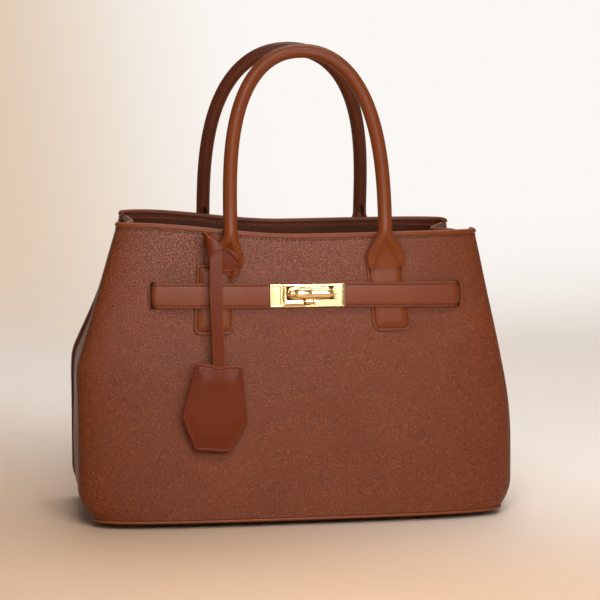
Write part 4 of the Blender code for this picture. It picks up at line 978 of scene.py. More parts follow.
    def panel(self, face: int, up: Array, columns: int, laps: int = 5) -> Array:
        """Outer face of a panel as rows by columns of points.

        The first and last columns are the straight laps over the gussets; between them
        x and depth follow the superellipse by angle.

        Args:
            face: -1 for the front, 1 for the back.
            up: fractions of the height, one a row.
            columns: points along the curved part.
            laps: points along each lap.

        Returns:
            Rows by columns by 3 points.
        """
        turn = self.plan_turns(columns)
        lap = np.linspace(1.0, 0.0, laps, endpoint=False) * self.lap
        turn = np.concatenate([np.zeros(laps), turn, np.full(laps, math.pi)])[None, :]
        fold = np.concatenate([lap, np.zeros(columns), lap[::-1]])[None, :]
        up = np.asarray(up)[:, None]
        power = self.squareness(up)
        across = -signed_power(np.cos(turn), 2 / power)
        width = self.half_width(up, across, face > 0)
        corner = self.opening(up, across) + self.lap
        depth = corner + (self.mid_depth(up) - corner) * np.abs(np.sin(turn)) ** (2 / power)
        z = self.bottom + up * (self.rim(across) - self.bottom)
        return joined(across * width, face * (depth - fold), z)

    def gusset(self, side: int, up: Array, shares: Array) -> Array:
        """Outer face of a gusset: the fold's hyperbola in from the seams, plus a low bulge.

        Near the mouth its edge is trimmed clear of the panels and their bindings.

        Args:
            side: -1 for the left, 1 for the right.
            up: fractions of the height, one a row.
            shares: places from the front edge, -1, to the back one, 1.

        Returns:
            Rows by columns by 3 points.
        """
        height = float(self.rim(side)) - self.bottom
        cut_high = 1 - (self.binding_leg + 2 * self.gap) / height
        cut_low = cut_high - self.lap / height
        up = np.asarray(up)[:, None]
        share = np.clip((up - cut_low) / (cut_high - cut_low), 0.0, 1.0)
        lap = (self.lap - 2 * self.gap) * (1 - share) - (self.leather + 2 * self.gap) * share
        half = self.opening(up, side)
        y = (half + lap) * shares[None, :]
        q = np.clip(y / half, -1.0, 1.0)
        swell = self.bulge * np.sin(math.pi * np.minimum(1.0, up / self.fold_start))
        reach = self.flank * np.sin(self.angle(up, side)) * self.crease(q)
        width = self.half_width(up, side, self.back_share(y, half))
        x = width - self.leather - self.gap - reach + swell * (1 - q * q) ** 2
        return joined(side * x, y, self.bottom + up * height)

    def inner_ring(self, up: Array, inset: float, room: float = 0.0042,
                   count: int = 70) -> Array:
        """Closed rings of a layer inside the body.

        Two half superellipses the inset behind the panels, joined at each side by the
        gusset's fold.

        Args:
            up: fractions of the height, one a ring.
            inset: distance behind the panels' outer faces.
            room: room left beside a folded gusset.
            count: points on each half superellipse; a fold has half as many.

        Returns:
            Rings by points by 3.
        """
        up = np.asarray(up)[:, None]
        power = self.squareness(up)
        turn = self.plan_turns(count)[None, :]
        across = -signed_power(np.cos(turn), 2 / power)
        half = self.opening(up, across) - self.gap
        depth = half + (self.mid_depth(up) - inset - half) * np.abs(np.sin(turn)) ** (2 / power)
        front = across * self.inner_width(up, across, 0.0, room)
        back = across * self.inner_width(up, across, 1.0, room)
        even = np.linspace(-1.0, 1.0, count // 2 + 2)[1:-1][None, :]
        folds = []
        for side in (1, -1):
            half = self.opening(up, side) - self.gap
            y = side * half * signed_power(even, 1.4)
            reach = self.flank * np.sin(self.angle(up, side)) * self.crease(y / half)
            x = self.inner_width(up, side, self.back_share(y, half), room) - reach
            folds.append((side * x, y))
        xs = np.concatenate([front, folds[0][0], back[:, ::-1], folds[1][0]], axis=1)
        ys = np.concatenate([-depth, folds[0][1], depth[:, ::-1], folds[1][1]], axis=1)
        share = xs / self.inner_width(up, xs, 0.0, room)
        zs = self.bottom + up * (self.rim(share) - self.bottom)
        return joined(xs, ys, zs)

    def inner_width(self, up: Array, side: Array, back: Array, room: float) -> Array:
        """Half width of a layer inside the body, clear of the gusset's folded leather."""
        flank = np.cos(self.angle(up, side))
        return (self.half_width(up, side, back) - self.leather - self.gap
                - (self.leather + room) / flank)

    def base_ring(self, inset: float, count: int = 120) -> Array:
        """Closed outline of the walls' lower edge, drawn in by an inset along its normals."""
        front = self.panel(-1, [0.0], count, 1)[0, 1:-1]
        ring = np.concatenate([front, front[::-1] * [1.0, -1.0, 1.0]])
        along = ring_heading(ring)
        inward = joined(-along[:, 1], along[:, 0], 0 * along[:, 0])
        return ring + inward * inset


WALL = Wall()
CENTRE_X = 0.0040          # centre line of everything on the front
BACK_X = 0.0024            # centre line of the back handle and its tabs
BELT_Z = 0.1815            # middle line of the belt and the clasp
SLIT_X = 0.1197            # distance of the belt's slits from the centre line
SLIT_RISE = {Side.LEFT: 0.0015, Side.RIGHT: -0.0020}
BAR_RISE = 0.0020          # the clasp's post stands this far above the middle line


@dataclass
class Shell:
    """The pebbled shell: two panels, two gussets, and the bindings round the mouth."""

    wall: Wall = WALL
    rows: int = 110
    columns: int = 170
    softness: float = 0.0006
    slit_width: float = 0.0042
    slit_height: float = 0.0207
    post_hole: float = 0.0025
    cut_depth: float = 0.0060
    binding: float = 0.0010
    # Stitches sit just under a binding, where their dark thread also paints the shaded line below it
    stitch_drop: float = 0.0031
    tuck: float = 0.0015

    def softened(self, grid: Array, out: Array) -> Array:
        """Panel with slow waves pressed inward: three crossed sines, none at the mouth.

        Args:
            grid: the panel's outer face.
            out: its normals.

        Returns:
            The softened face.
        """
        x, z = grid[..., 0], grid[..., 2]
        wave = (np.sin(31 * x + 23 * z + 0.6) + np.sin(57 * x - 41 * z + 2.0)
                + np.sin(19 * x + 77 * z + 4.0))
        fade = smooth_step((self.wall.rim_middle - z) / 0.05) * smooth_step((z - 0.01) / 0.03)
        press = self.softness * (0.5 + wave / 6) * fade
        return grid - out * press[..., None]

    def build_panel(self, face: Face) -> None:
        """One panel as a slab of leather; the front one has belt slits and the post's hole.

        Args:
            face: which panel.
        """
        grid = self.wall.panel(face.value, np.linspace(0.0, 1.0, self.rows), self.columns)
        out = surface_normals(grid, np.array([0.0, face.value, 0.0]))
        outer = self.softened(grid, out)
        name = face.word + "_panel"
        piece = make_piece("cowhide_" + name, slab(outer, outer - out * self.wall.leather))
        if face is Face.FRONT:
            cut_out(piece, self.openings())
        dress(piece, PEBBLED, (name,))

    def openings(self) -> Shape:
        """Cutters for both slits and for the clasp's post."""
        half = np.array([self.slit_width / 2, self.slit_height / 2, self.cut_depth])
        slits = [box_shape(half).carried(self.wall.frame_at(
            CENTRE_X + side.value * SLIT_X, BELT_Z + rise, -1)) for side, rise in SLIT_RISE.items()]
        hole = turned([(self.post_hole, -self.cut_depth), (self.post_hole, self.cut_depth)], 24)
        hole = tube(hole[..., [1, 2, 0]] + [0.0, BAR_RISE, 0.0])
        return sum_shapes(slits + [hole.carried(self.wall.frame_at(CENTRE_X, BELT_Z, -1))])

    def build_gusset(self, side: Side) -> None:
        """One folding side piece as a slab of leather."""
        height = float(self.wall.rim(side.value)) - self.wall.bottom
        up = np.linspace(0.0, 1 - self.wall.drop / height, self.rows)
        shares = signed_power(np.linspace(-1.0, 1.0, 61), 1.25)
        grid = self.wall.gusset(side.value, up, shares)
        out = surface_normals(grid, np.array([side.value, 0.0, 0.0]))
        name = side.word + "_gusset"
        add_piece("cowhide_" + name, slab(grid, grid - out * self.wall.leather), PEBBLED, (name,))

    def cap_section(self) -> tuple[Array, Array]:
        """Section of a rolled binding: half a turn over the edge, a leg down each side.

        Returns:
            Closed section of (out, up) points, and its edge wear.
        """
        inner = self.wall.leather / 2 + self.wall.gap
        outer = inner + self.binding
        leg = self.wall.binding_leg
        turn = np.linspace(0.0, math.pi, 11)
        over = joined(outer * np.cos(turn), 1.25 * outer * np.sin(turn) ** 0.9 * 0.75)
        right = np.array([(inner, -leg), (outer - 0.3 * MM, -leg), (outer, -leg + 0.3 * MM),
                          (outer + 0.05 * MM, -leg + 0.8 * MM), (outer + 0.1 * MM, -leg + 1.6 * MM)])
        inside = np.array([(-inner, 0.0), (-inner * 0.6, 0.3 * MM), (inner * 0.6, 0.3 * MM),
                           (inner, 0.0)])
        section = np.concatenate([right, over, right[::-1] * MIRROR, inside])
        wear = np.zeros(len(section))
        wear[len(right):len(right) + len(over)] = np.sin(turn) ** 2 * 0.8
        return section, wear

    def bind(self, name: str, edge: Array, below: Array, toward: Array,
             node: str, faces: tuple[int, ...], finish: Finish = SMOOTH) -> None:
        """Carry the binding's section along an edge and stitch it.

        Args:
            name: the piece's name.
            edge: points along the edge.
            below: the same points a little lower on the wall.
            toward: the wall's outward side.
            node: the CAD node the binding stands for.
            faces: sides that show stitches, 1 outside and -1 inside.
            finish: the binding's leather.
        """
        along = unit(np.gradient(edge, axis=0))
        rise = edge - below
        rise = unit(rise - along * np.sum(rise * along, axis=1, keepdims=True))
        out = np.cross(along, rise)
        out = out * np.sign(np.sum(out * toward, axis=1, keepdims=True))
        middle = edge - out * self.wall.leather / 2
        section, wear = self.cap_section()
        rings = beside(middle, out, rise, section[:, 0], section[:, 1])
        add_piece(name, tube(rings, edge=wear), finish, (node,))
        half = self.wall.leather / 2 + 0.05 * MM
        # Each row sits just under the binding, where the dark thread also paints the shaded line
        # below it
        rows = [STITCH.row(middle + out * half * face - rise * self.stitch_drop, out * face)
                for face in faces]
        add_piece(name + "_stitches", sum_shapes(rows), THREAD)

    def build(self) -> None:
        """Panels, gussets and bindings."""
        for face in Face:
            self.build_panel(face)
            below, edge = self.wall.panel(face.value, [0.985, 1.0], self.columns)
            # The back binding takes the calf painted darker as shade
            self.bind(face.word + "_mouth_binding", edge, below, edge * FLAT,
                      face.word + "_rim_binding", (1, -1),
                      SMOOTH if face is Face.FRONT else SHADE_PAINTED_CALF)
        for side in Side:
            self.build_gusset(side)
            height = float(self.wall.rim(side.value)) - self.wall.bottom
            top = 1 - self.wall.drop / height
            shares = np.linspace(-0.985, 0.985, 61)
            below, edge = self.wall.gusset(side.value, [top - 0.01, top], shares)
            tuck = self.tuck * smooth_step((np.abs(shares) - 0.75) / 0.2)
            edge, below = (line - tuck[:, None] * UP for line in (edge, below))
            # The gusset bindings take the calf painted darker as shade
            self.bind(side.word + "_fold_binding", edge, below,
                      np.array([side.value, 0.0, 0.0]), side.word + "_gusset_binding", (1,),
                      SHADE_PAINTED_CALF)


@dataclass
class Inside:
    """What shows through the mouth: a smooth facing and a loose suede lining."""

    wall: Wall = WALL
    facing_height: float = 0.0260
    facing: float = 0.0012
    lining: float = 0.0008
    lining_inset: float = 0.0040
    floor: float = 0.0105
    drape: float = 0.0016

    def build(self) -> None:
        """Facing with its stitches, then the lining."""
        height = self.wall.rim_middle - self.wall.bottom
        top = 1 - (self.wall.binding_leg + self.wall.drop + 3 * self.wall.gap) / height
        low = 1 - self.facing_height / height
        ring = self.wall.inner_ring(np.linspace(low, top, 9),
                                    self.wall.leather + 2 * self.wall.gap)
        out = surface_normals(ring, ring * FLAT, wrap=True)
        inner = ring - out * self.facing
        # The facing takes the calf painted darker as shade
        add_piece("calf_mouth_facing", slab(ring, inner, wrap=True), FACING, ("mouth_facing",))
        line = np.concatenate([inner[1], inner[1][:1]])
        away = -np.concatenate([out[1], out[1][:1]])
        add_piece("facing_stitches", STITCH.row(line, away), THREAD)
        self.build_lining(low - 2 * self.wall.gap / height)

    def build_lining(self, high: float) -> None:
        """Lining bag: rings up the wall, pressed inward in slow folds, and a floor.

        Args:
            high: fraction of the height where it meets the facing.
        """
        low = (self.floor - self.wall.bottom) / (self.wall.rim_middle - self.wall.bottom)
        up = np.concatenate([[low], low + (high - low) * np.linspace(0.012, 1.0, 60)])
        ring = self.wall.inner_ring(up, self.lining_inset)
        ring[0, :, 2] = self.floor
        around = whole_turn(ring.shape[1])[None, :]
        level = np.linspace(0.0, 1.0, len(up))[:, None]
        out = surface_normals(ring, ring * FLAT, wrap=True)
        fold = 0.5 + 0.25 * np.sin(17 * around + 2 * level) + 0.25 * np.sin(29 * around - 3 * level)
        press = self.drape * fold * np.sin(math.pi * level) ** 0.7
        ring = ring - out * press[..., None]
        shares = np.linspace(0.02, 0.985, 16)[:, None, None]
        floor = ring[:1] * np.concatenate([shares, shares, np.ones_like(shares)], axis=-1)
        outer = np.concatenate([floor, ring])
        out = np.concatenate([np.broadcast_to(-UP, floor.shape), out])
        out[len(floor) - 1:len(floor) + 1] = unit(out[len(floor):len(floor) + 1] - UP)
        shape = slab(outer, outer - out * self.lining, wrap=True)
        sides, count = outer.shape[1], outer.shape[0] * outer.shape[1]
        start = len(shape.faces) - 2 * sides
        shape.faces = np.delete(shape.faces, np.arange(start, start + sides), axis=0)
        shape.caps = [list(range(sides)), list(range(count, count + sides))]
        add_piece("suede_lining", shape, SUEDE, ("lining",))


@dataclass
class Base:
    """Bottom of the bag: leather panel, piped seam and four turned studs."""

    wall: Wall = WALL
    foot_height: float = 0.0040
    foot_radius: float = 0.0060
    foot_x: float = 0.1342
    foot_y: float = 0.0460
    shank_radius: float = 0.0016
    shank_top: float = 0.0099
    panel_z: float = 0.0043
    panel_thickness: float = 0.0020
    piping: float = 0.0013
    soft: float = 0.0007

    def build_panel(self) -> None:
        """Bottom panel: the base outline shrunk ring by ring, its edge rounded."""
        inset = self.wall.leather / 2 + self.piping + self.wall.gap
        low, high, soft = self.panel_z, self.panel_z + self.panel_thickness, self.soft
        steps = [(0.02, 0.0, low), (0.5, 0.0, low), (0.85, 0.0, low), (1.0, 2 * soft, low),
                 (1.0, soft, low), (1.0, 0.25 * soft, low + 0.3 * soft), (1.0, 0.0, low + soft),
                 (1.0, 0.0, high), (1.0, soft, high), (0.02, 0.0, high)]
        rings = stacked([(self.wall.base_ring(inset + draw)[:, :2] * share, z)
                         for share, draw, z in steps])
        add_piece("cowhide_base_panel", tube(rings), PEBBLED, ("base_panel",))

    def build_piping(self) -> None:
        """Round piping along the base outline."""
        line = self.wall.base_ring(self.wall.leather / 2)
        along = ring_heading(line)
        out = joined(along[:, 1], -along[:, 0], 0 * along[:, 0])
        turn = whole_turn(14)
        centre = line * FLAT + UP * (self.panel_z + self.panel_thickness)
        rings = beside(centre, out, np.broadcast_to(UP, out.shape), self.piping * np.cos(turn),
                       self.piping * np.sin(turn))
        wear = np.clip(np.cos(turn), 0.0, 1.0) * 0.5
        add_piece("calf_base_piping", tube(rings, True, wear), SMOOTH, ("base_piping",))

    def build_studs(self) -> None:
        """Four studs: a low dome below a straight collar and a thin shank."""
        turn = np.linspace(0.0, math.pi / 2, 9)
        dome = joined(self.foot_radius * np.sin(turn),
                      self.foot_height * 0.6 * (1 - np.cos(turn)))
        dome[0, 0] = TINY
        top = [(self.foot_radius, self.foot_height - 0.3 * MM),
               (self.foot_radius - 0.3 * MM, self.foot_height),
               (self.shank_radius, self.foot_height), (self.shank_radius, self.shank_top)]
        rings = turned(np.concatenate([dome, top]), 28)[..., [1, 2, 0]]
        for row, y in (("front", -self.foot_y), ("back", self.foot_y)):
            for side in Side:
                place = np.array([side.value * self.foot_x, y, 0.0])
                add_piece(f"stud_{row}_{side.word}", tube(rings + place), GOLD,
                          (f"foot_{row}_{side.word}",))

    def build(self) -> None:
        """All of the base."""
        self.build_panel()
        self.build_piping()
        self.build_studs()


@dataclass
class Handle:
    """A rolled handle: leather wrapped round a cord, opening into two flared feet."""

    face: Face
    middle: float
    spread: float
    shifts: tuple[float, float] = (0.0, 0.0)
    finish: Finish = SMOOTH
    wall: Wall = WALL
    radius: float = 0.0055
    leather: float = 0.0016
    rise: float = 0.1385
    lean: float = 0.0360
    stand: float = 0.0100
    foot_z: float = 0.2020
    join: float = 0.0040
    round_across: float = 2.2
    round_up: float = 3.0
    lean_power: float = 1.3
    flare_half_width: float = 0.0148
    flare_half_thickness: float = 0.0020
    flare_flat: float = 0.0090
    flare_length: float = 0.0310
    flare_round: float = 0.0040
    pressed: float = 0.0015
    pressed_half: float = 0.0117
    pressed_length: float = 0.0275
    tab_outer: float = 0.0031
    seam_gap: float = 0.035
    seam_stitch: float = 0.36
    mouth_z: float = 0.2400
    mouth_half_turn: float = 0.85
    sides: int = 72

    @property
    def name(self) -> str:
        """Name of the handle's body and of its CAD node."""
        return self.face.word + "_handle"

    def leg(self, x: float, shift: float) -> Array:
        """Centre line of one leg: off the panel as it climbs, bent sideways at its foot.

        Args:
            x: where the leg stands at the mouth.
            shift: how far its foot lies to the side of that.

        Returns:
            Points from the foot up.
        """
        top = self.wall.rim_middle + self.join
        z = np.linspace(self.foot_z, top, 30)
        low = self.tab_outer + self.wall.gap + self.flare_half_thickness
        share = (z - self.foot_z) / (top - self.foot_z)
        line = self.wall.point(x + shift * (1 - share) ** 2, z, self.face.value)
        line[:, 1] += self.face.value * (low + (self.stand - low) * share)
        return line

    def line(self) -> Array:
        """Centre line: left leg, a superelliptic arch that leans in, right leg, smoothed.

        Returns:
            Points from the left foot to the right one.
        """
        left = self.leg(self.middle - self.spread, self.shifts[0])
        right = self.leg(self.middle + self.spread, self.shifts[1])
        cosine = np.cos(np.linspace(0.0, math.pi, 121)[1:-1])
        across = -signed_power(cosine, 2 / self.round_across)
        climb = (1 - cosine ** 2) ** (1 / self.round_up)
        foot = (left[-1, 1] + right[-1, 1]) / 2 + (right[-1, 1] - left[-1, 1]) / 2 * across
        arch = joined(self.middle + self.spread * across,
                      foot - self.face.value * self.lean * climb ** self.lean_power,
                      left[-1, 2] + self.rise * climb)
        line = resample(np.concatenate([left, arch, right[::-1]]), np.linspace(0.0, 1.0, 401))
        reach = 8
        held = np.concatenate([2 * line[:1] - line[reach:0:-1], line,
                               2 * line[-1:] - line[-2:-2 - reach:-1]])
        window = np.hanning(2 * reach + 3)[1:-1]
        return averaged(held, window / window.sum())

    def frames(self, fractions: Array) -> tuple[Array, ...]:
        """Centre, across and out directions, and distance from the nearer end.

        Args:
            fractions: places along the handle.

        Returns:
            The four, one row a place.
        """
        line = self.line()
        length = float(run_of(line)[-1])
        centre = resample(line, fractions)
        along = unit(np.gradient(centre, axis=0))
        across = unit(np.cross(along, [0.0, float(self.face.value), 0.0]))
        at = fractions * length
        return centre, across, np.cross(across, along), np.minimum(at, length - at)

    def recess(self, x: Array, y: Array, from_end: Array) -> Array:
        """Depth of the triangle pressed into a foot, from its apex down to both corners.

        Args:
            x: places across the foot.
            y: places through it, positive in front.
            from_end: distances from the handle's end.

        Returns:
            Depths.
        """
        share = np.clip(1 - from_end / self.pressed_length, 0.0, 1.0)
        inside = smooth_step((self.pressed_half * share - np.abs(x)) / (2.2 * MM))
        return self.pressed * inside * (y > 0)

    def sheet(self, fractions: Array) -> tuple[Array, Array]:
        """Outer and inner face of the leather.

        In section each is a superellipse by angle, a circle on the roll and squarer
        where the foot flares.  The sheet goes round from one side of the seam to the
        other.  The seam faces the mouth of the bag, is nearly closed along the roll and
        opens as an arch above the foot.

        Args:
            fractions: places along the handle.

        Returns:
            Two grids of points, one row a place.
        """
        centre, across, out, from_end = self.frames(fractions)
        grow = smooth_step((from_end - self.flare_flat) / (self.flare_length - self.flare_flat))
        wide = self.flare_half_width + (self.radius - self.flare_half_width) * grow
        thick = self.flare_half_thickness + (self.radius - self.flare_half_thickness) * grow
        wide = wide - 2.5 * MM * np.clip(1 - from_end / self.flare_round, 0.0, 1.0) ** 2
        power = (2 / (2 + 2.2 * (1 - grow)))[:, None]
        drop = np.clip((self.mouth_z - centre[:, 2]) / (9 * MM), 0.0, 1.0)
        open_turn = self.seam_gap + self.mouth_half_turn * np.sqrt(drop * (2 - drop))
        share = np.linspace(0.0, 1.0, self.sides)[None, :]
        turn = -math.pi / 2 + open_turn[:, None] + share * (2 * math.pi - 2 * open_turn[:, None])
        grids = []
        for take in (0.0, self.leather):
            x = (wide - take)[:, None] * signed_power(np.cos(turn), power)
            y = (thick - take)[:, None] * signed_power(np.sin(turn), power)
            y = y - self.recess(x, y, from_end[:, None])
            grids.append(beside(centre, across, out, x, y))
        return grids[0], grids[1]

    def bend(self) -> tuple:
        """The bag and the handle, with two points above the feet, handed to dress() as a joint."""
        y = float(self.wall.point(self.middle, 0.21, self.face.value)[1])
        return ("bag", self.name, (self.middle, y, self.foot_z + 4 * MM),
                (self.middle, y, self.foot_z + 20 * MM))

    def build(self) -> None:
        """Leather, seam stitches and the cord inside."""
        foot = np.linspace(0.0, 0.11, 60)
        arch = np.linspace(0.11, 0.89, 150)[1:-1]
        fractions = np.concatenate([foot, arch, 1 - foot[::-1]])
        outer, inner = self.sheet(fractions)
        wear = np.zeros(outer.shape[:2])
        wear[:, [0, -1]] = 1.0
        wear[[0, -1], :] = 0.6
        add_piece("calf_" + self.name, slab(outer, inner, edge=wear), self.finish, (self.name,),
                  bend=self.bend(), crisp=50.0)
        self.build_stitches(fractions[(fractions > 0.13) & (fractions < 0.87)])
        self.build_cord()

    def build_stitches(self, run: Array) -> None:
        """One row of stitches beside the seam, along part of the handle."""
        centre, across, out, _ = self.frames(run)
        turn = -math.pi / 2 + self.seam_stitch
        way = across * math.cos(turn) + out * math.sin(turn)
        add_piece(self.name + "_stitches", STITCH.row(centre + way * self.radius, way), THREAD,
                  body=self.name)

    def build_cord(self) -> None:
        """Three-strand cord: a circle with three lobes that turn along the roll."""
        fractions = np.linspace(0.122, 0.878, 260)
        centre, across, out, _ = self.frames(fractions)
        turn = whole_turn(24)[None, :]
        twist = fractions[:, None] * 2 * math.pi * 22
        reach = (self.radius - self.leather - 0.3 * MM) * (0.94 + 0.06 * np.cos(3 * (turn - twist)))
        reach = reach * np.sqrt(np.clip(np.minimum(fractions - 0.121, 0.879 - fractions) / 0.006,
                                        0.05, 1.0))[:, None]
        rings = beside(centre, across, out, reach * np.cos(turn), reach * np.sin(turn))
        add_piece(self.name + "_cord", tube(rings), CORD, (self.name + "_core",), self.name)


@dataclass
class Tab:
    """A padded tab under a handle's foot, turned edges stitched down all round."""

    face: Face
    side: Side
    centre: float
    lean: float = 0.0
    wall: Wall = WALL
    half_width: float = 0.0155
    taper: float = 0.0012
    top: float = 0.2130
    length: float = 0.0610
    corner: float = 0.0060
    thickness: float = 0.0020
    padding: float = 0.0010
    seam_in: float = 0.0024
    edge_round: float = 0.0009
    steps_mm: tuple[float, ...] = (0.0, 0.12, 0.3, 0.55, 0.9, 1.3, 1.7, 2.0, 2.2, 2.4, 2.6, 2.85,
                                   3.2, 3.8, 4.6, 5.6, 6.8, 8.2)

    def across(self, x: Array, z: Array) -> Array:
        """World X of a place on the tab, which narrows upwards and leans outwards."""
        low = self.top - self.length
        narrow = 1 - self.taper / self.half_width * (z - low) / self.length
        return self.centre + x * narrow + self.lean * (self.top - z)

    def depth_in(self, x: Array, z: Array) -> Array:
        """Distance in from the tab's outline, a rectangle with round lower corners.

        Args:
            x: places across the tab, from its middle.
            z: heights.

        Returns:
            Distances.
        """
        dx = self.half_width - np.abs(x)
        dz = z - (self.top - self.length)
        corner_x, corner_z = self.corner - dx, self.corner - dz
        in_corner = (corner_x > 0) & (corner_z > 0)
        round_in = self.corner - np.hypot(corner_x, corner_z)
        return np.minimum(np.where(in_corner, round_in, np.minimum(dx, dz)), self.top - z)

    def height(self, into: Array) -> Array:
        """Thickness: a quarter round at the edge, a dip at the seam, then the padding."""
        rim = self.edge_round + (self.thickness - self.edge_round) * quarter_round(
            into, self.edge_round)
        dip = 0.55 * MM * bell(into - self.seam_in, 0.45 * MM)
        return rim - dip + self.padding * smooth_step((into - self.seam_in) / (5 * MM))

    def build(self) -> None:
        """The tab and its stitches."""
        edge_steps = np.array(self.steps_mm) * MM
        low = self.top - self.length
        z = np.concatenate([low + edge_steps, np.linspace(low + 10 * MM, self.top - 9 * MM, 26),
                            self.top - edge_steps[::-1]])
        into = np.clip(1 - (z - low) / self.corner, 0.0, 1.0)
        half = self.half_width - self.corner * (1 - np.sqrt(1 - into ** 2))
        inner_x = np.linspace(-1.0, 1.0, 17)[1:-1]
        columns = np.concatenate([edge_steps - self.half_width,
                                  inner_x * (self.half_width - edge_steps[-1]),
                                  self.half_width - edge_steps[::-1]]) / self.half_width
        x = half[:, None] * columns[None, :]
        z = np.broadcast_to(z[:, None], x.shape)
        into = np.clip(self.depth_in(x, z), 0.0, None)
        outer, inner = (self.wall.off(self.across(x, z), z, self.face.value, offset)
                        for offset in (self.wall.gap + self.height(into), np.array(self.wall.gap)))
        name = f"{self.face.word}_tab_{self.side.word}"
        piece = add_piece("calf_" + name, slab(outer, inner, edge=worn_edge(into)), SMOOTH, (name,))
        self.build_stitches(name)

    def build_stitches(self, name: str) -> None:
        """Stitches down one side, round the lower corners and up the other.

        Args:
            name: the tab's name.
        """
        low, side = self.top - self.length + self.seam_in, self.half_width - self.seam_in
        radius = self.corner - self.seam_in
        turn = np.linspace(math.pi, 1.5 * math.pi, 12)
        arc = joined(-side + radius + radius * np.cos(turn),
                     low + radius + radius * np.sin(turn))
        half = np.concatenate([[[-side, self.top - 6 * MM]], arc])
        line = resample(np.concatenate([half, half[::-1] * MIRROR]), np.linspace(0, 1, 200))
        x, z = self.across(line[:, 0], line[:, 1]), line[:, 1]
        offset = self.wall.gap + float(self.height(np.array(self.seam_in))) + 0.1 * MM
        points = self.wall.off(x, z, self.face.value, np.array(offset))
        out = self.wall.normal(x, z, self.face.value)
        add_piece(name + "_stitches", STITCH.row(points, out), THREAD)


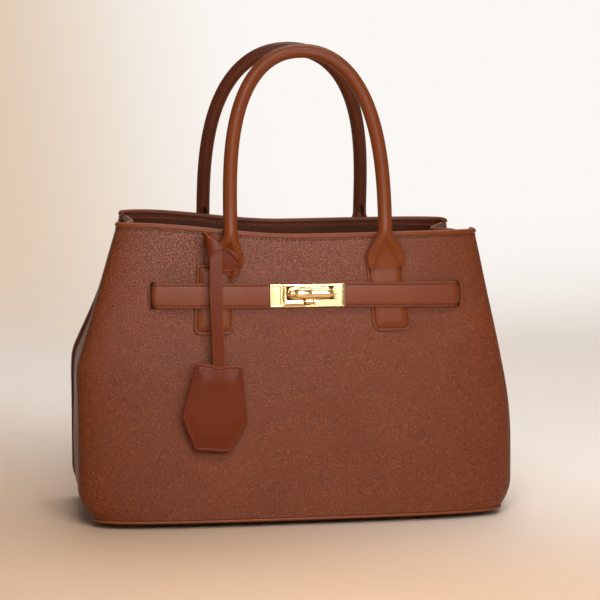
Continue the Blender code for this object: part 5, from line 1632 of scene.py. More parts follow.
@dataclass
class Belt:
    """The belt: two padded straps that come out of slits and meet at the clasp."""

    wall: Wall = WALL
    height: float = 0.0195
    thickness: float = 0.0030
    over_tabs: float = 0.0049
    at_plate: float = 0.0033
    turn_left: float = 0.0022
    turn_right: float = 0.0045
    lip_left: float = 0.45
    lip_width: float = 0.0024
    lip_height: float = 0.0012
    dip_start: float = 0.0330
    dip_end: float = 0.0530
    bow: float = 0.0013
    left_start: float = 0.0244
    right_start: float = 0.0238
    seam_in: float = 0.0018
    inside: float = 0.0015
    hinge_x: float = 0.1171
    hinge_y: float = -0.064

    def route(self, side: Side) -> Array:
        """Distance out from the centre line and offset from the wall, along one half.

        Args:
            side: which half.

        Returns:
            Points from the clasp to the slit and round into it.
        """
        left = side is Side.LEFT
        radius = self.turn_left if left else self.turn_right
        run = np.linspace(self.left_start if left else self.right_start, SLIT_X - radius, 60,
                          endpoint=False)
        sink = smooth_step((run - self.dip_start) / (self.dip_end - self.dip_start))
        low = self.at_plate if left else self.over_tabs
        offset = low + (self.over_tabs - low) * sink
        turn = np.linspace(0.0, math.pi / 2, 24)
        bend = joined(SLIT_X - radius * (1 - np.sin(turn)),
                      self.over_tabs - radius * (1 - np.cos(turn)))
        line = np.concatenate([joined(run, offset), bend, [[SLIT_X, -self.inside]]])
        return resample(line, np.linspace(0.0, 1.0, 150))

    def section(self) -> tuple[Array, Array]:
        """Section of the strap.

        The face has round edges, a dip at each seam and a soft middle; the back is flat.

        Returns:
            Closed section of (up, out) points, and its edge wear.
        """
        half, thick = self.height / 2, self.thickness / 2
        into = np.array([0.0, 0.1, 0.3, 0.6, 1.0, 1.35, 1.6, 1.8, 2.0, 2.25, 2.7, 3.5, 4.8,
                         6.5]) * MM
        rise = thick - 1.1 * MM * (1 - quarter_round(into, 1.1 * MM))
        rise = rise - 0.42 * MM * bell(into - self.seam_in, 0.34 * MM)
        rise = rise + 0.25 * MM * smooth_step((into - self.seam_in) / (4.5 * MM))
        low = joined(-half + into, rise)
        middle = np.array([[0.0, thick + 0.25 * MM]])
        back = np.array([(half, -thick + 0.5 * MM), (half - 0.4 * MM, -thick), (0.0, -thick),
                         (-half + 0.4 * MM, -thick), (-half, -thick + 0.5 * MM)])
        worn = worn_edge(into)
        return (np.concatenate([low, middle, low[::-1] * MIRROR, back]),
                np.concatenate([worn, [0.0], worn[::-1], np.full(5, 0.5)]))

    def place(self, route: Array, side: Side, up: Array, out: Array) -> Array:
        """Points beside a route: out along its normal, then up the wall.

        Args:
            route: points as route() gives them.
            side: which half.
            up: heights above the belt's middle line.
            out: distances from the strap's middle, one for each height.

        Returns:
            Stations by heights by 3.
        """
        along = unit(np.gradient(route, axis=0))
        normal = joined(-along[:, 1], along[:, 0])
        flat = route[:, None] + out[None, :, None] * normal[:, None]
        near = smooth_step((flat[..., 0] - SLIT_X + 8 * MM) / (6 * MM))
        bow = self.bow * (2 * up[None, :] / self.height) ** 2 * near
        x = CENTRE_X + side.value * (flat[..., 0] - bow)
        return self.wall.off(x, self.level(x) + up[None, :], -1, flat[..., 1])

    def level(self, x: Array) -> Array:
        """Height of the belt's middle line, which sinks a little from left to right."""
        return BELT_Z + np.interp(np.asarray(x) - CENTRE_X, [-0.118, -0.028, 0.030, 0.120],
                                  [SLIT_RISE[Side.LEFT], 0.0, 0.0, SLIT_RISE[Side.RIGHT]])

    def bend(self, side: Side) -> tuple | None:
        """For the right half: the bag and the flap, with two points by the hinge, handed to dress()
        as a joint; none for the left.
        """
        if side is Side.LEFT:
            return None
        return ("bag", "belt_flap", (self.hinge_x + 1.5 * MM, self.hinge_y, BELT_Z),
                (self.hinge_x - 10 * MM, self.hinge_y, BELT_Z))

    def build(self) -> None:
        """Both halves with their stitches, and the lips of the slits."""
        section, wear = self.section()
        nodes = {Side.LEFT: ("belt_left",), Side.RIGHT: ("belt_right", "belt_right_end")}
        for side in Side:
            route = self.route(side)
            rings = self.place(route, side, section[:, 0], section[:, 1])
            add_piece("calf_belt_" + side.word, tube(rings, edge=wear), STRAP, nodes[side],
                      bend=self.bend(side), crisp=50.0)
            seen = route[(route[:, 0] > 0.0305) & (route[:, 0] < SLIT_X - 0.8 * MM)]
            up = MIRROR * (self.height / 2 - self.seam_in)
            out = np.full(2, self.thickness / 2 - 0.12 * MM)
            face, lifted = self.place(seen, side, up, out), self.place(seen, side, up, out + MM)
            rows = [STITCH.row(face[:, k], lifted[:, k] - face[:, k]) for k in (0, 1)]
            add_piece(f"belt_{side.word}_stitches", sum_shapes(rows), THREAD, bend=self.bend(side))
            self.build_lip(side)

    def build_lip(self, side: Side) -> None:
        """Raised lip beyond a slit: half an ellipse in section, bowed away from the belt.

        Args:
            side: which slit; the left one's lip is lower and narrower.
        """
        v = np.linspace(-1.0, 1.0, 41)[:, None]
        w = np.linspace(0.0, 1.0, 13)[None, :]
        size = self.lip_left if side is Side.LEFT else 1.0
        wide = self.lip_width * size * (0.55 + 0.45 * np.sqrt(1 - v ** 2))
        inner = SLIT_X + 1.9 * MM + self.bow * (1 - v ** 2)
        x = CENTRE_X + side.value * (inner + w * wide)
        z = self.level(x) + v * (self.height / 2 + 1.2 * MM)
        rise = self.lip_height * size * np.sqrt(1 - (2 * w - 1) ** 2) * (1 - v ** 6)
        outer = self.wall.off(x, z, -1, self.wall.gap + rise)
        under = self.wall.off(x, z, -1, np.array(-0.4 * MM))
        add_piece("calf_slit_lip_" + side.word, slab(outer, under), SMOOTH,
                  ("belt_welt_" + side.word,))


@dataclass
class Clasp:
    """Two slotted plates gripped on the belt's ends, and the bar that locks them."""

    wall: Wall = WALL
    height: float = 0.0177
    slot_length: float = 0.0392
    slot_width: float = 0.0104
    notch_width: float = 0.0082
    notch_depth: float = 0.0094
    left_inner: float = 0.0051
    left_outer: float = 0.0065
    right_inner: float = 0.0068
    right_outer: float = 0.0084
    left_start: float = -0.0298
    left_end: float = 0.0217
    right_start: float = -0.0190
    right_end: float = 0.0288
    left_web: float = 0.0077
    right_web: float = 0.0229
    jaw: float = 0.0009
    sunk: float = 0.00055
    touch: float = 0.00002
    bar_offset: float = 0.0133
    bar_left: float = 0.0166
    bar_length: float = 0.0380
    bar_radius: float = 0.0046
    knob_drop: float = 0.0062
    knob_radius: float = 0.0026
    knob_length: float = 0.0070
    crisp: float = 32.0

    def frame(self) -> Array:
        """Frame at the middle of the plates."""
        return self.wall.frame_at(CENTRE_X, BELT_Z, -1)

    @staticmethod
    def walk(corners: list[tuple[float, float]], count: int) -> Array:
        """Even points along a broken line, without its last."""
        return resample(np.array(corners), np.linspace(0.0, 1.0, count, endpoint=False))

    def rectangle(self, left: float, right: float, half: float, count: int = 60) -> Array:
        """Outline with as many points on each side, from the upper left corner clockwise."""
        corners = [(left, half), (right, half), (right, -half), (left, -half), (left, half)]
        return np.concatenate([self.walk([a, b], count) for a, b in zip(corners, corners[1:])])

    def slot(self, count: int = 60) -> Array:
        """Outline of the slot with the notch for the bar's knob, point for point as above."""
        a, w, n = self.slot_length / 2, self.slot_width / 2, self.notch_width / 2
        d, b = self.notch_depth, self.bar_left + 0.6 * MM
        sides = [[(-b, w), (a, w)], [(a, w), (a, -w)],
                 [(a, -w), (n, -w), (n, -d), (-n, -d), (-n, -w), (-b, -w)],
                 [(-b, -w), (-b, w)]]
        return np.concatenate([self.walk(side, count) for side in sides]) + [0.0, BAR_RISE]

    def pierced(self, outer: Array, inner: Array, low: float, high: float,
                soft: float = 0.35 * MM) -> Shape:
        """Plate between two matched outlines, with all four edges rounded.

        A section runs from the hole's edge over the top to the rim and back under; it
        is carried round both outlines at once.

        Args:
            outer: the rim's outline, (across, up) points.
            inner: the hole's outline, point for point.
            low: offset of the underside.
            high: offset of the top.
            soft: radius of the edges.

        Returns:
            The plate in the clasp's own frame.
        """
        way = unit(outer - inner)
        steps = [(0, 0.0, high - soft), (0, 0.3, high - 0.3 * soft), (0, 1.0, high),
                 (0.5, 0.0, high), (1, -1.0, high), (1, -0.3, high - 0.3 * soft),
                 (1, 0.0, high - soft), (1, 0.0, low), (0, 0.0, low)]
        rings = stacked([(inner + (outer - inner) * share + way * draw * soft, out)
                         for share, draw, out in steps])
        return tube(rings.swapaxes(0, 1), closed=True)

    def strip(self, outline: list[tuple[float, float]]) -> Shape:
        """Bent strip: an (across, out) outline carried up the plate's height."""
        half, flat = self.height / 2, np.array(outline)
        rings = stacked([(flat, up) for up in (-half, -half + 0.2 * MM, half - 0.2 * MM, half)])
        return tube(rings[..., [0, 2, 1]])

    def settle(self, name: str, shape: Shape, body: str, nodes: tuple[str, ...]) -> None:
        """Carry a shape from the clasp's frame onto the bag and finish it in gold."""
        add_piece(name, shape.carried(self.frame()), GOLD, nodes, body, crisp=self.crisp)

    def build_left(self) -> None:
        """Left plate: slotted under the right one, with a framed recess where it shows."""
        half, seen = self.height / 2, self.right_start - 1.3 * MM
        shape = self.pierced(self.rectangle(self.left_start + 0.2 * MM, self.left_end,
                                            half - 0.1 * MM),
                             self.slot(), self.left_inner, self.left_outer - self.sunk)
        rim = self.rectangle(self.left_start, seen, half)
        recess = self.rectangle(self.left_start + 1.3 * MM, seen - 1.2 * MM, half - 1.4 * MM)
        floor = self.rectangle(self.left_start + 1.7 * MM, seen - 1.6 * MM, half - 1.8 * MM)
        high, deep = self.left_outer + 0.35 * MM, self.left_outer - self.sunk + 0.1 * MM
        steps = [(rim, 0.0, self.left_inner), (rim, 0.0, high - 0.3 * MM),
                 (rim, 0.02, high - 0.1 * MM), (rim, 0.05, high), (recess, -0.03, high),
                 (recess, 0.0, high - 0.12 * MM), (floor, 0.0, deep), (floor, 0.97, deep)]
        middle = np.array([(self.left_start + seen) / 2, 0.0])
        shape = shape + tube(stacked([(line + (middle - line) * draw, out)
                                      for line, draw, out in steps]))
        web, clamp = self.left_start + self.left_web, self.left_inner - self.touch
        lip = 0.6 * MM
        shape = shape + self.strip([(self.left_start, lip), (web + self.jaw, lip),
                                    (web + self.jaw, clamp), (web, clamp),
                                    (web, lip + self.jaw), (self.left_start, lip + self.jaw)])
        self.settle("clasp_left_plate_gilt", shape, "bag", ("clasp_plate_left",))

    def build_right(self) -> None:
        """Right plate: slotted, polished flat, with a jaw round the belt's end."""
        shape = self.pierced(self.rectangle(self.right_start, self.right_end, self.height / 2),
                             self.slot(), self.right_inner, self.right_outer)
        web, end, clamp = self.right_web, self.right_end, self.right_inner - self.touch
        low = 3.1 * MM
        shape = shape + self.strip([(web - self.jaw, low - self.jaw), (end, low - self.jaw),
                                    (end, low), (web, low), (web, clamp),
                                    (web - self.jaw, clamp)])
        self.settle("clasp_right_plate_gilt", shape, "belt_flap", ("clasp_plate_right",))

    def bar_profile(self) -> Array:
        """Radius and place along the bar, from the button's tip to the round end."""
        half, r, left = self.bar_length / 2, self.bar_radius, self.bar_left
        ball = np.linspace(-math.pi / 2, 0.85, 12)
        button = joined(3.1 * MM * np.cos(ball), -left + 2.2 * MM * (1 + np.sin(ball)))
        swell = np.linspace(0.0, 1.0, 10)
        neck = joined(2.0 * MM + (r - 2.0 * MM) * quarter_round(swell, 1.0),
                      -left + 4.4 * MM + 6.0 * MM * swell)
        joint = np.array([(r, 1.2 * MM), (r - 0.15 * MM, 1.45 * MM), (r - 0.55 * MM, 1.55 * MM),
                          (r - 0.55 * MM, 1.75 * MM), (r - 0.32 * MM, 1.85 * MM)])
        thin = r - 0.30 * MM
        turn = np.linspace(0.0, math.pi / 2, 12)
        end = joined(thin * np.cos(turn) ** 0.8, half - 5.5 * MM + 5.5 * MM * np.sin(turn))
        button[0, 0] = end[-1, 0] = TINY
        return np.concatenate([button, neck, joint, end])

    def build_toggle(self) -> None:
        """Turning bar with its stem, and the small knob on a neck below it."""
        turn = np.linspace(-math.pi / 2, math.pi / 2, 13)
        half, r = self.knob_length / 2, self.knob_radius
        place = np.where(turn < 0, -half + 1.2 * MM, half - 1.2 * MM) + 1.2 * MM * np.sin(turn)
        barrel = joined(np.maximum(r * np.cos(turn) ** 0.6, TINY), place)
        knob = turned(barrel, 28) + [0.0, -self.knob_drop, -2.0 * MM]
        neck = turned([(1.9 * MM, -5.5 * MM), (1.5 * MM, -4.2 * MM), (1.7 * MM, -2.0 * MM)], 20)
        neck = neck[..., [1, 0, 2]] + [0.0, 0.0, -1.2 * MM]
        stem = turned([(1.6 * MM, 2.3 * MM - self.bar_offset), (1.6 * MM, 0.0)], 24)
        shape = sum_shapes([tube(turned(self.bar_profile(), 48)), tube(knob), tube(neck),
                            tube(stem[..., [1, 2, 0]])])
        shape.points = shape.points + [0.0, BAR_RISE, self.bar_offset]
        self.settle("clasp_bar_gilt", shape, "toggle", ("toggle",))

    def build_island(self) -> None:
        """Rounded block on the post that fills the slots under the bar."""
        turn = whole_turn(64)
        width = self.slot_width / 2 - 0.6 * MM
        middle = (self.slot_length / 2 - self.bar_left - 0.6 * MM) / 2
        straight = (self.slot_length / 2 + self.bar_left + 0.6 * MM) / 2 - 0.7 * MM - width
        flat = joined(middle + straight * np.sign(np.cos(turn)) + width * np.cos(turn),
                      BAR_RISE + width * np.sin(turn))
        centre = np.array([middle, BAR_RISE])
        steps = [(1.0, 0.6 * MM), (1.0, 7.0 * MM), (0.97, 7.4 * MM), (0.9, 7.5 * MM),
                 (0.03, 7.5 * MM)]
        rings = stacked([(centre + (flat - centre) * share, out) for share, out in steps])
        self.settle("clasp_island_gilt", tube(rings), "bag", ())

    def build(self) -> None:
        """Plates, the island under the bar, then the toggle; the post keeps its solid."""
        self.build_left()
        self.build_right()
        self.build_island()
        self.build_toggle()


@dataclass
class Tag:
    """Key tag: a strap knotted round the handle's leg, carrying two bell-shaped leaves."""

    leg_y: float = -0.0682
    loop_x: float = -0.0625
    loop_z: float = 0.2186
    band: float = 0.0095
    leather: float = 0.0013
    leaf_x: float = -0.0665
    leaf_y: float = -0.0795
    leaf_top: float = 0.1310
    back_leaf_y: float = -0.0771
    lean: float = math.radians(5.1)
    strap_front: float = -0.0774
    crisp: float = 50.0
    steps_mm: tuple[float, ...] = (0.0, 0.2, 0.5, 0.9, 1.3, 1.7, 2.1, 2.5, 3.0, 4.0, 5.5, 7.5,
                                   10.0, 13.0, 16.5, 20.0)

    def leaf_corners(self) -> Array:
        """Corners of the hexagon in the leaf's own frame, from the upper left clockwise."""
        return np.array([(-17.5, 0.0), (17.5, 0.0), (25.5, -43.0), (13.0, -68.0),
                         (-13.0, -68.0), (-25.5, -43.0)]) * MM

    def leaf_outline(self, count: int = 180) -> Array:
        """Hexagon with its corners eased and its upper edge dipping in the middle."""
        corners = self.leaf_corners()
        line = resample(np.concatenate([corners, corners[:1]]),
                        np.linspace(0.0, 1.0, count, endpoint=False))
        line = averaged(np.concatenate([line[-2:], line, line[:1]]),
                        np.array([1.0, 2.0, 2.0, 1.0]) / 6)
        dip = 1.6 * MM * np.clip(1 - np.abs(line[:, 0]) / (14 * MM), 0.0, 1.0) ** 1.5
        line[:, 1] = line[:, 1] - dip * (line[:, 1] > -1.5 * MM)
        return line

    def leaf_height(self, flat: Array, into: Array) -> Array:
        """Thickness in front: round edge, flat seam band, then a puff with a strap under it.

        Args:
            flat: places on the leaf.
            into: their distances in from its outline.

        Returns:
            Thickness at each place.
        """
        rise = 0.25 * MM + 0.75 * MM * quarter_round(into, 0.9 * MM)
        rise = rise - 0.30 * MM * bell(into - 2.1 * MM, 0.5 * MM)
        rise = rise + 1.1 * MM * smooth_step((into - 2.2 * MM) / (9 * MM))
        near_top = smooth_step((flat[..., 1] + 26 * MM) / (24 * MM))
        ridge = bell(flat[..., 0], (4.5 + 6 * (1 - near_top)) * MM)
        return rise + 1.7 * MM * ridge * near_top * smooth_step(into / (2.5 * MM) + 0.25)

    def placed(self, flat: Array, y: Array) -> Array:
        """World points of places on a leaf, which leans about the middle of its upper edge.

        Args:
            flat: places on the leaf, (across, up).
            y: their depth.

        Returns:
            The points.
        """
        cosine, sine = math.cos(self.lean), math.sin(self.lean)
        x = self.leaf_x + flat[..., 0] * cosine + flat[..., 1] * sine
        z = self.leaf_top + flat[..., 1] * cosine - flat[..., 0] * sine
        return joined(x, y, z)

    def build_leaf(self, name: str, front: int, y: float) -> None:
        """One leaf: rings of the outline shrunk towards the middle, closed at the centre.

        Args:
            name: name of the CAD node it stands for.
            front: 1 for the leaf that faces out, -1 for the one behind.
            y: depth of its inner face.
        """
        outline = self.leaf_outline()
        centre = np.array([0.0, -36 * MM])
        inward, reach = centre - outline, np.linalg.norm(outline - centre, axis=-1)
        face = []
        for step in np.array(self.steps_mm) * MM:
            flat = outline + inward * (step / np.minimum(reach, 30 * MM))[:, None]
            face.append((flat, self.leaf_height(flat, np.full(len(flat), step))))
        last, rise = face[-1]
        face.append((last * 0.05 + centre * 0.95, np.mean(rise)))
        back = [(outline + inward * 0.97, 0.0), (outline + inward * (MM / reach)[:, None], 0.0),
                (outline, 0.0)]
        local = stacked(back + face)
        wear = np.zeros(local.shape[:2])
        wear[len(back) - 1:len(back) + 2] = 0.8
        shape = tube(self.placed(local[..., :2], y - front * local[..., 2]), edge=wear)
        piece = add_piece("calf_" + name, shape, TAG_CALF, (name,), "tag", crisp=self.crisp)

    def build_strap(self) -> None:
        """Flat strap with eased edges that bows out a little between knot and leaf."""
        middle = through(np.array([(-68.6, 222.5, 0.0), (-68.9, 208.0, 0.9), (-68.9, 182.0, 1.5),
                                   (-67.6, 155.0, 0.8), (-66.8, 134.0, 0.0),
                                   (-66.6, 118.5, 0.0)]) * MM, 120)
        half, thick = self.band / 2, self.leather
        section = np.array([(-half, 0.3 * MM), (-half + 0.25 * MM, 0.0), (half - 0.25 * MM, 0.0),
                            (half, 0.3 * MM), (half, thick - 0.4 * MM),
                            (half - 0.35 * MM, thick - 0.1 * MM), (half - 1.2 * MM, thick),
                            (0.0, thick + 0.12 * MM), (-half + 1.2 * MM, thick),
                            (-half + 0.35 * MM, thick - 0.1 * MM), (-half, thick - 0.4 * MM)])
        wear = np.array([1, 0.4, 0.4, 1, 1, 0.7, 0, 0, 0, 0.7, 1.0])
        x = middle[:, :1] + section[None, :, 0]
        y = self.strap_front - middle[:, 2:] - section[None, :, 1]
        add_piece("calf_tag_strap", tube(joined(x, y, middle[:, 1:2]), edge=wear), TAG_CALF,
                  ("tag_strap",), "tag", crisp=self.crisp)

    def build_loop(self) -> None:
        """Band round the leg: an oval ring, higher behind the leg than in front."""
        turn = whole_turn(120)
        cosine, sine = np.cos(turn), np.sin(turn)
        path = joined(self.loop_x + 13.8 * MM * signed_power(cosine, 0.85),
                      self.leg_y - 6.6 * MM * signed_power(sine, 0.85),
                      self.loop_z - 9.0 * MM * cosine - 2.0 * MM * sine)
        along = ring_heading(path)
        radial = unit((path - [self.loop_x, self.leg_y, 0.0]) * [0.25, 1.0, 0.0])
        wide = unit(np.cross(along, radial))
        half, thick = self.band / 2, self.leather / 2
        section = np.array([(-half, -0.5 * thick), (-half, 0.5 * thick), (-half + 0.3 * MM, thick),
                            (half - 0.3 * MM, thick), (half, 0.5 * thick), (half, -0.5 * thick),
                            (half - 0.3 * MM, -thick), (-half + 0.3 * MM, -thick)])
        rings = beside(path, wide, np.cross(wide, along), section[:, 0], section[:, 1])
        wear = np.array([1.0, 1.0, 0.4, 0.4, 1.0, 1.0, 0.4, 0.4])
        add_piece("calf_tag_loop", tube(rings, True, wear), TAG_CALF, ("tag_loop",),
                  "front_handle")

    def ribbon(self, upper: Array, lower: Array, dome: float, count: int = 60) -> Shape:
        """Leather between two edge lines.

        Points run straight from one line to the other, pushed forward by half a sine,
        and the leather has its thickness behind.

        Args:
            upper: points the upper edge passes through, (x, y, z) in millimetres.
            lower: points of the lower edge.
            dome: how far the middle stands forward, in metres.
            count: points along the band.

        Returns:
            The band as a closed shell.
        """
        a, b = through(upper * MM, count), through(lower * MM, count)
        v = np.linspace(0.0, 1.0, 15)
        grid = a[:, None] + (b - a)[:, None] * v[None, :, None]
        grid[..., 1] -= dome * np.sin(math.pi * v)[None, :]
        out = surface_normals(grid, np.array([0.0, -1.0, 0.0]))
        wear = np.zeros(grid.shape[:2])
        wear[:, [0, -1]] = wear[[0, -1], :] = 1.0
        return slab(grid, grid - out * self.leather, edge=wear)

    def build_knot(self) -> None:
        """Folded band across the leg: a back layer to the corner, a front lip over the strap."""
        upper = np.array([(-76.2, -72.0, 228.6), (-75.4, -75.3, 229.6), (-73.0, -76.4, 229.0),
                          (-66.9, -76.9, 225.0), (-60.0, -77.0, 220.7), (-53.9, -76.8, 214.0),
                          (-48.5, -75.9, 208.1)])
        lower = np.array([(-76.6, -71.5, 222.5), (-75.6, -73.8, 219.5), (-73.0, -75.0, 214.0),
                          (-68.0, -75.4, 207.5), (-61.4, -75.6, 203.0), (-54.5, -75.6, 204.2),
                          (-48.9, -75.7, 207.2)])
        lip_upper = np.array([(-76.8, -73.0, 229.0), (-75.7, -77.0, 230.0), (-71.8, -79.4, 228.3),
                              (-66.9, -79.9, 225.4), (-62.0, -79.3, 222.2), (-57.0, -78.3, 217.9),
                              (-52.0, -77.4, 212.2), (-48.2, -76.7, 207.9)])
        lip_lower = np.array([(-77.1, -72.8, 223.5), (-76.0, -76.8, 219.8), (-73.2, -79.8, 214.6),
                              (-68.6, -81.0, 217.6), (-63.4, -80.4, 220.6), (-58.0, -78.8, 216.9),
                              (-52.8, -77.6, 211.3), (-48.5, -76.8, 207.6)])
        shape = (self.ribbon(upper, lower, 0.3 * MM)
                 + self.ribbon(lip_upper, lip_lower, 0.5 * MM))
        add_piece("calf_tag_knot", shape, TAG_CALF, ("tag_knot",), "tag_knot", crisp=self.crisp)

    def build_stitches(self) -> None:
        """Three stitches down from each upper corner of the front leaf."""
        rows, out = [], np.tile([0.0, -1.0, 0.0], (20, 1))
        for sign in (-1.0, 1.0):
            flat = resample(np.array([(sign * 15.4, -2.2), (sign * 16.9, -12.4)]) * MM,
                            np.linspace(0.0, 1.0, 20))
            rows.append(STITCH.row(self.placed(flat, self.leaf_y - 0.9 * MM), out))
        add_piece("tag_leaf_stitches", sum_shapes(rows), THREAD, body="tag")

    def build(self) -> None:
        """Loop, knot, strap, leaves and stitches."""
        self.build_loop()
        self.build_knot()
        self.build_strap()
        self.build_leaf("tag_front_leaf", 1, self.leaf_y + 0.6 * MM)
        self.build_leaf("tag_back_leaf", -1, self.back_leaf_y)
        self.build_stitches()


@dataclass
class HiddenParts:
    """CAD nodes that stay as they are, inside the bag, and only get their finish."""

    finishes: dict[str, Finish] = field(default_factory=lambda: {
        "clasp_post": GOLD, "clasp_backing": GOLD, "foot_washer_front_left": GOLD,
        "foot_washer_front_right": GOLD, "foot_washer_back_left": GOLD,
        "foot_washer_back_right": GOLD, "base_board": BOARD, "tag_insert": BOARD})

    def build(self) -> None:
        """Put each finish in its node's material slots."""
        for name, finish in self.finishes.items():
            node = frame["nodes"][name]
            node.data.materials.clear()
            node.data.materials.append(finish.material())
            LOG.info("%s: kept, in %s", name, finish.name)


@dataclass
class Studio:
    """Pale sweep, soft plain light and the camera."""

    azimuth: float = math.radians(-8.5)
    elevation: float = math.radians(8.0)
    distance: float = 1.8
    ambient: float = 0.20
    room: float = 0.30
    pane: float = 1.25
    window: tuple[float, float, float] = (0.146, -0.987, 0.005)
    target: tuple[float, float, float] = (0.0078, 0.0, 0.1687)
    aim: tuple[float, float, float] = (0.0, 0.0, 0.17)
    lens: float = 133.9
    # Painted light and shade: the floor is painted darker near the front and left and paler far back
    # and right, and the backdrop is painted darker on the left
    floor_near: str = "#C4A488"
    floor_far: str = "#FAF0E6"
    wall_left: str = "#DFC8B0"
    wall_right: str = "#FBF7F3"
    mirrored: str = "#FFF4E6"

    def build_sweep(self) -> None:
        """Floor that curves up into a backdrop: a flat run, a quarter turn, a flat run."""
        turn = np.linspace(0.0, math.pi / 2, 24)
        near, bend, radius, high, half = -6.0, 0.9, 0.8, 3.0, 4.0
        curve = joined(bend + radius * np.sin(turn), radius * (1 - np.cos(turn)))
        profile = np.concatenate([[[near, 0.0]], curve, [[bend + radius, high]]])
        x = np.linspace(-half, half, 9)
        grid = joined(x[None, :], profile[:, :1], profile[:, 1:])
        mesh = bpy.data.meshes.new("sweep")
        mesh.from_pydata(grid.reshape(-1, 3).tolist(), [], quads(len(profile), 9).tolist())
        mesh.shade_smooth()
        sweep = bpy.data.objects.new("sweep", mesh)
        bpy.context.scene.collection.objects.link(sweep)
        material = bpy.data.materials.new("painted_sweep")
        material.use_nodes = True
        tree = material.node_tree
        place = add_node(tree, "TexCoord").outputs["Object"]
        # Painted light: the floor's colour brightens towards the back and right
        floor = self.gradient(tree, place, (0.75, 0.85, 0.0), -0.22, 0.40,
                              self.floor_near, self.floor_far)
        wall = self.gradient(tree, place, (1.0, 0.0, 0.12), -0.24, 0.22,
                             self.wall_left, self.wall_right)
        shader = tree.nodes["Principled BSDF"]
        plug(tree, shader, {"Base Color": floor, "Roughness": 0.6})
        # The backdrop glows for camera rays only, its glow painted darker to the left
        glow = add_node(tree, "Emission", {"Color": wall})
        height = add_node(tree, "SeparateXYZ", {0: place})
        far = add_node(tree, "MapRange", {"Value": height.outputs[1], "From Min": 0.7,
                                          "From Max": 1.3}, interpolation_type="SMOOTHSTEP")
        ray = add_node(tree, "LightPath")
        seen = add_node(tree, "Math", {0: far, 1: ray.outputs["Is Camera Ray"]},
                        operation="MULTIPLY")
        mix = add_node(tree, "MixShader", {0: seen, 1: shader, 2: glow})
        behind = add_node(tree, "NewGeometry").outputs["Backfacing"]
        clear = add_node(tree, "BsdfTransparent")
        shown = add_node(tree, "MixShader", {0: behind, 1: mix, 2: clear})
        plug(tree, tree.nodes["Material Output"], {"Surface": shown})
        mesh.materials.append(material)

    @staticmethod
    def gradient(tree: Tree, place: Socket, way: tuple,
                 start: float, end: float, first: str, last: str) -> Socket:
        """Colour that turns from one to another along a direction.

        Args:
            tree: the node tree.
            place: places in metres.
            way: the direction.
            start: where along it the first colour ends.
            end: where the last colour begins.
            first: hex code of the first.
            last: hex code of the last.

        Returns:
            The colour.
        """
        along = add_node(tree, "VectorMath", {0: place, 1: way},
                         operation="DOT_PRODUCT")
        share = add_node(tree, "MapRange",
                         {"Value": along.outputs["Value"], "From Min": start, "From Max": end},
                         interpolation_type="SMOOTHSTEP")
        paint = add_node(tree, "Mix", {MIX_FACTOR: share, MIX_A: linear(first),
                                       MIX_B: linear(last)}, data_type="RGBA")
        return paint.outputs[MIX_COLOUR]

    def build_world(self) -> None:
        """Dim light all round; gloss and glass see a dim room with one bright window."""
        world = bpy.data.worlds.new("studio")
        bpy.context.scene.world = world
        world.use_nodes = True
        tree = world.node_tree
        tree.nodes.clear()
        ray = add_node(tree, "LightPath")
        seen = ray.outputs["Is Camera Ray"]
        for other in ("Is Glossy Ray", "Is Transmission Ray"):
            seen = add_node(tree, "Math", {0: seen, 1: ray.outputs[other]}, operation="MAXIMUM")
        light = add_node(tree, "Background",
                         {"Color": (1.0, 0.97, 0.93, 1.0), "Strength": self.ambient})
        way = add_node(tree, "TexCoord").outputs["Generated"]
        facing = add_node(tree, "VectorMath", {0: way, 1: self.window},
                          operation="DOT_PRODUCT")
        bright = add_node(tree, "MapRange",
                          {"Value": facing.outputs["Value"], "From Min": 0.965,
                           "From Max": 0.990, "To Min": self.room, "To Max": self.pane},
                          interpolation_type="SMOOTHSTEP")
        view = add_node(tree, "Background",
                        {"Color": linear(self.mirrored), "Strength": bright})
        add_node(tree, "OutputWorld", {0: add_node(tree, "MixShader",
                                                   {0: seen, 1: light, 2: view})})

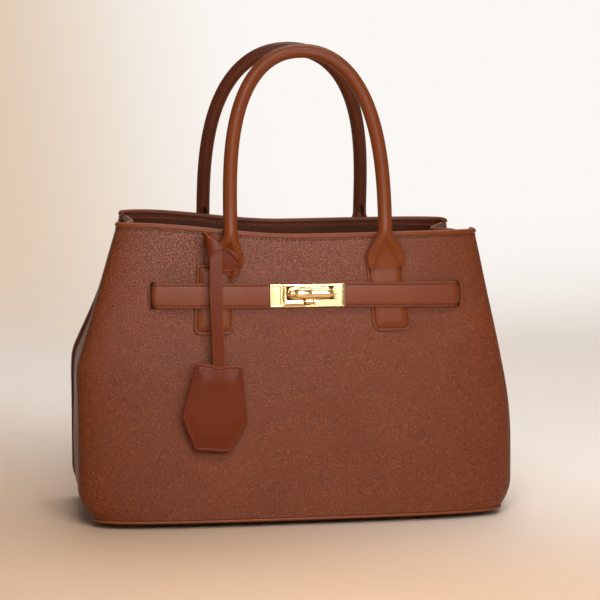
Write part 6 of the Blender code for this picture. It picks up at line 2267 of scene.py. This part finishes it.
    def add_lamp(self, name: str, place: tuple, size: tuple, power: float) -> None:
        """Rectangular soft light aimed at the middle of the bag.

        Args:
            name: the lamp's name.
            place: where it hangs.
            size: its width and height.
            power: its watts.
        """
        lamp = bpy.data.lights.new(name, "AREA")
        lamp.shape = "RECTANGLE"
        lamp.size, lamp.size_y = size
        lamp.energy = power
        holder = bpy.data.objects.new(name, lamp)
        holder.location = place
        way = Vector(self.aim) - Vector(place)
        holder.rotation_euler = way.to_track_quat("-Z", "Y").to_euler()
        bpy.context.scene.collection.objects.link(holder)

    def build(self) -> None:
        """Sweep, world, lamps, camera."""
        self.build_sweep()
        self.build_world()
        self.add_lamp("key", (0.0, -0.95, 1.05), (0.5, 0.22), 7.2)
        self.add_lamp("sheen", (0.01, -0.55, 0.29), (0.42, 0.14), 2.0)
        self.add_lamp("top", (0.3, 0.5, 1.9), (1.5, 1.2), 19.0)
        back = Vector((math.sin(self.azimuth) * math.cos(self.elevation),
                       -math.cos(self.azimuth) * math.cos(self.elevation),
                       math.sin(self.elevation)))
        lens = bpy.data.cameras.new("camera")
        lens.lens = self.lens
        lens.sensor_width = 36.0
        camera = bpy.data.objects.new("camera", lens)
        camera.location = Vector(self.target) + back * self.distance
        camera.rotation_euler = (-back).to_track_quat("-Z", "Y").to_euler()
        bpy.context.scene.collection.objects.link(camera)
        bpy.context.scene.camera = camera
        bpy.context.scene.view_settings.view_transform = "Standard"


def main() -> None:
    """Build the bag piece by piece, then the studio."""
    logging.basicConfig(level=logging.INFO, format="%(message)s")
    Studio().build()
    Shell().build()
    Inside().build()
    Base().build()
    Handle(Face.FRONT, CENTRE_X, 0.0605, (-0.0085, 0.0020)).build()
    # The back handle takes the calf painted darker as shade
    Handle(Face.BACK, BACK_X, 0.0657, finish=SHADE_PAINTED_CALF).build()
    Tab(Face.FRONT, Side.LEFT, CENTRE_X - 0.0715, -0.037, top=0.2065, length=0.0545).build()
    Tab(Face.FRONT, Side.RIGHT, CENTRE_X + 0.0600, 0.130).build()
    for side in Side:
        Tab(Face.BACK, side, BACK_X + side.value * 0.0665).build()
    Belt().build()
    Clasp().build()
    Tag().build()
    HiddenParts().build()


if __name__ == "__main__":
    main()
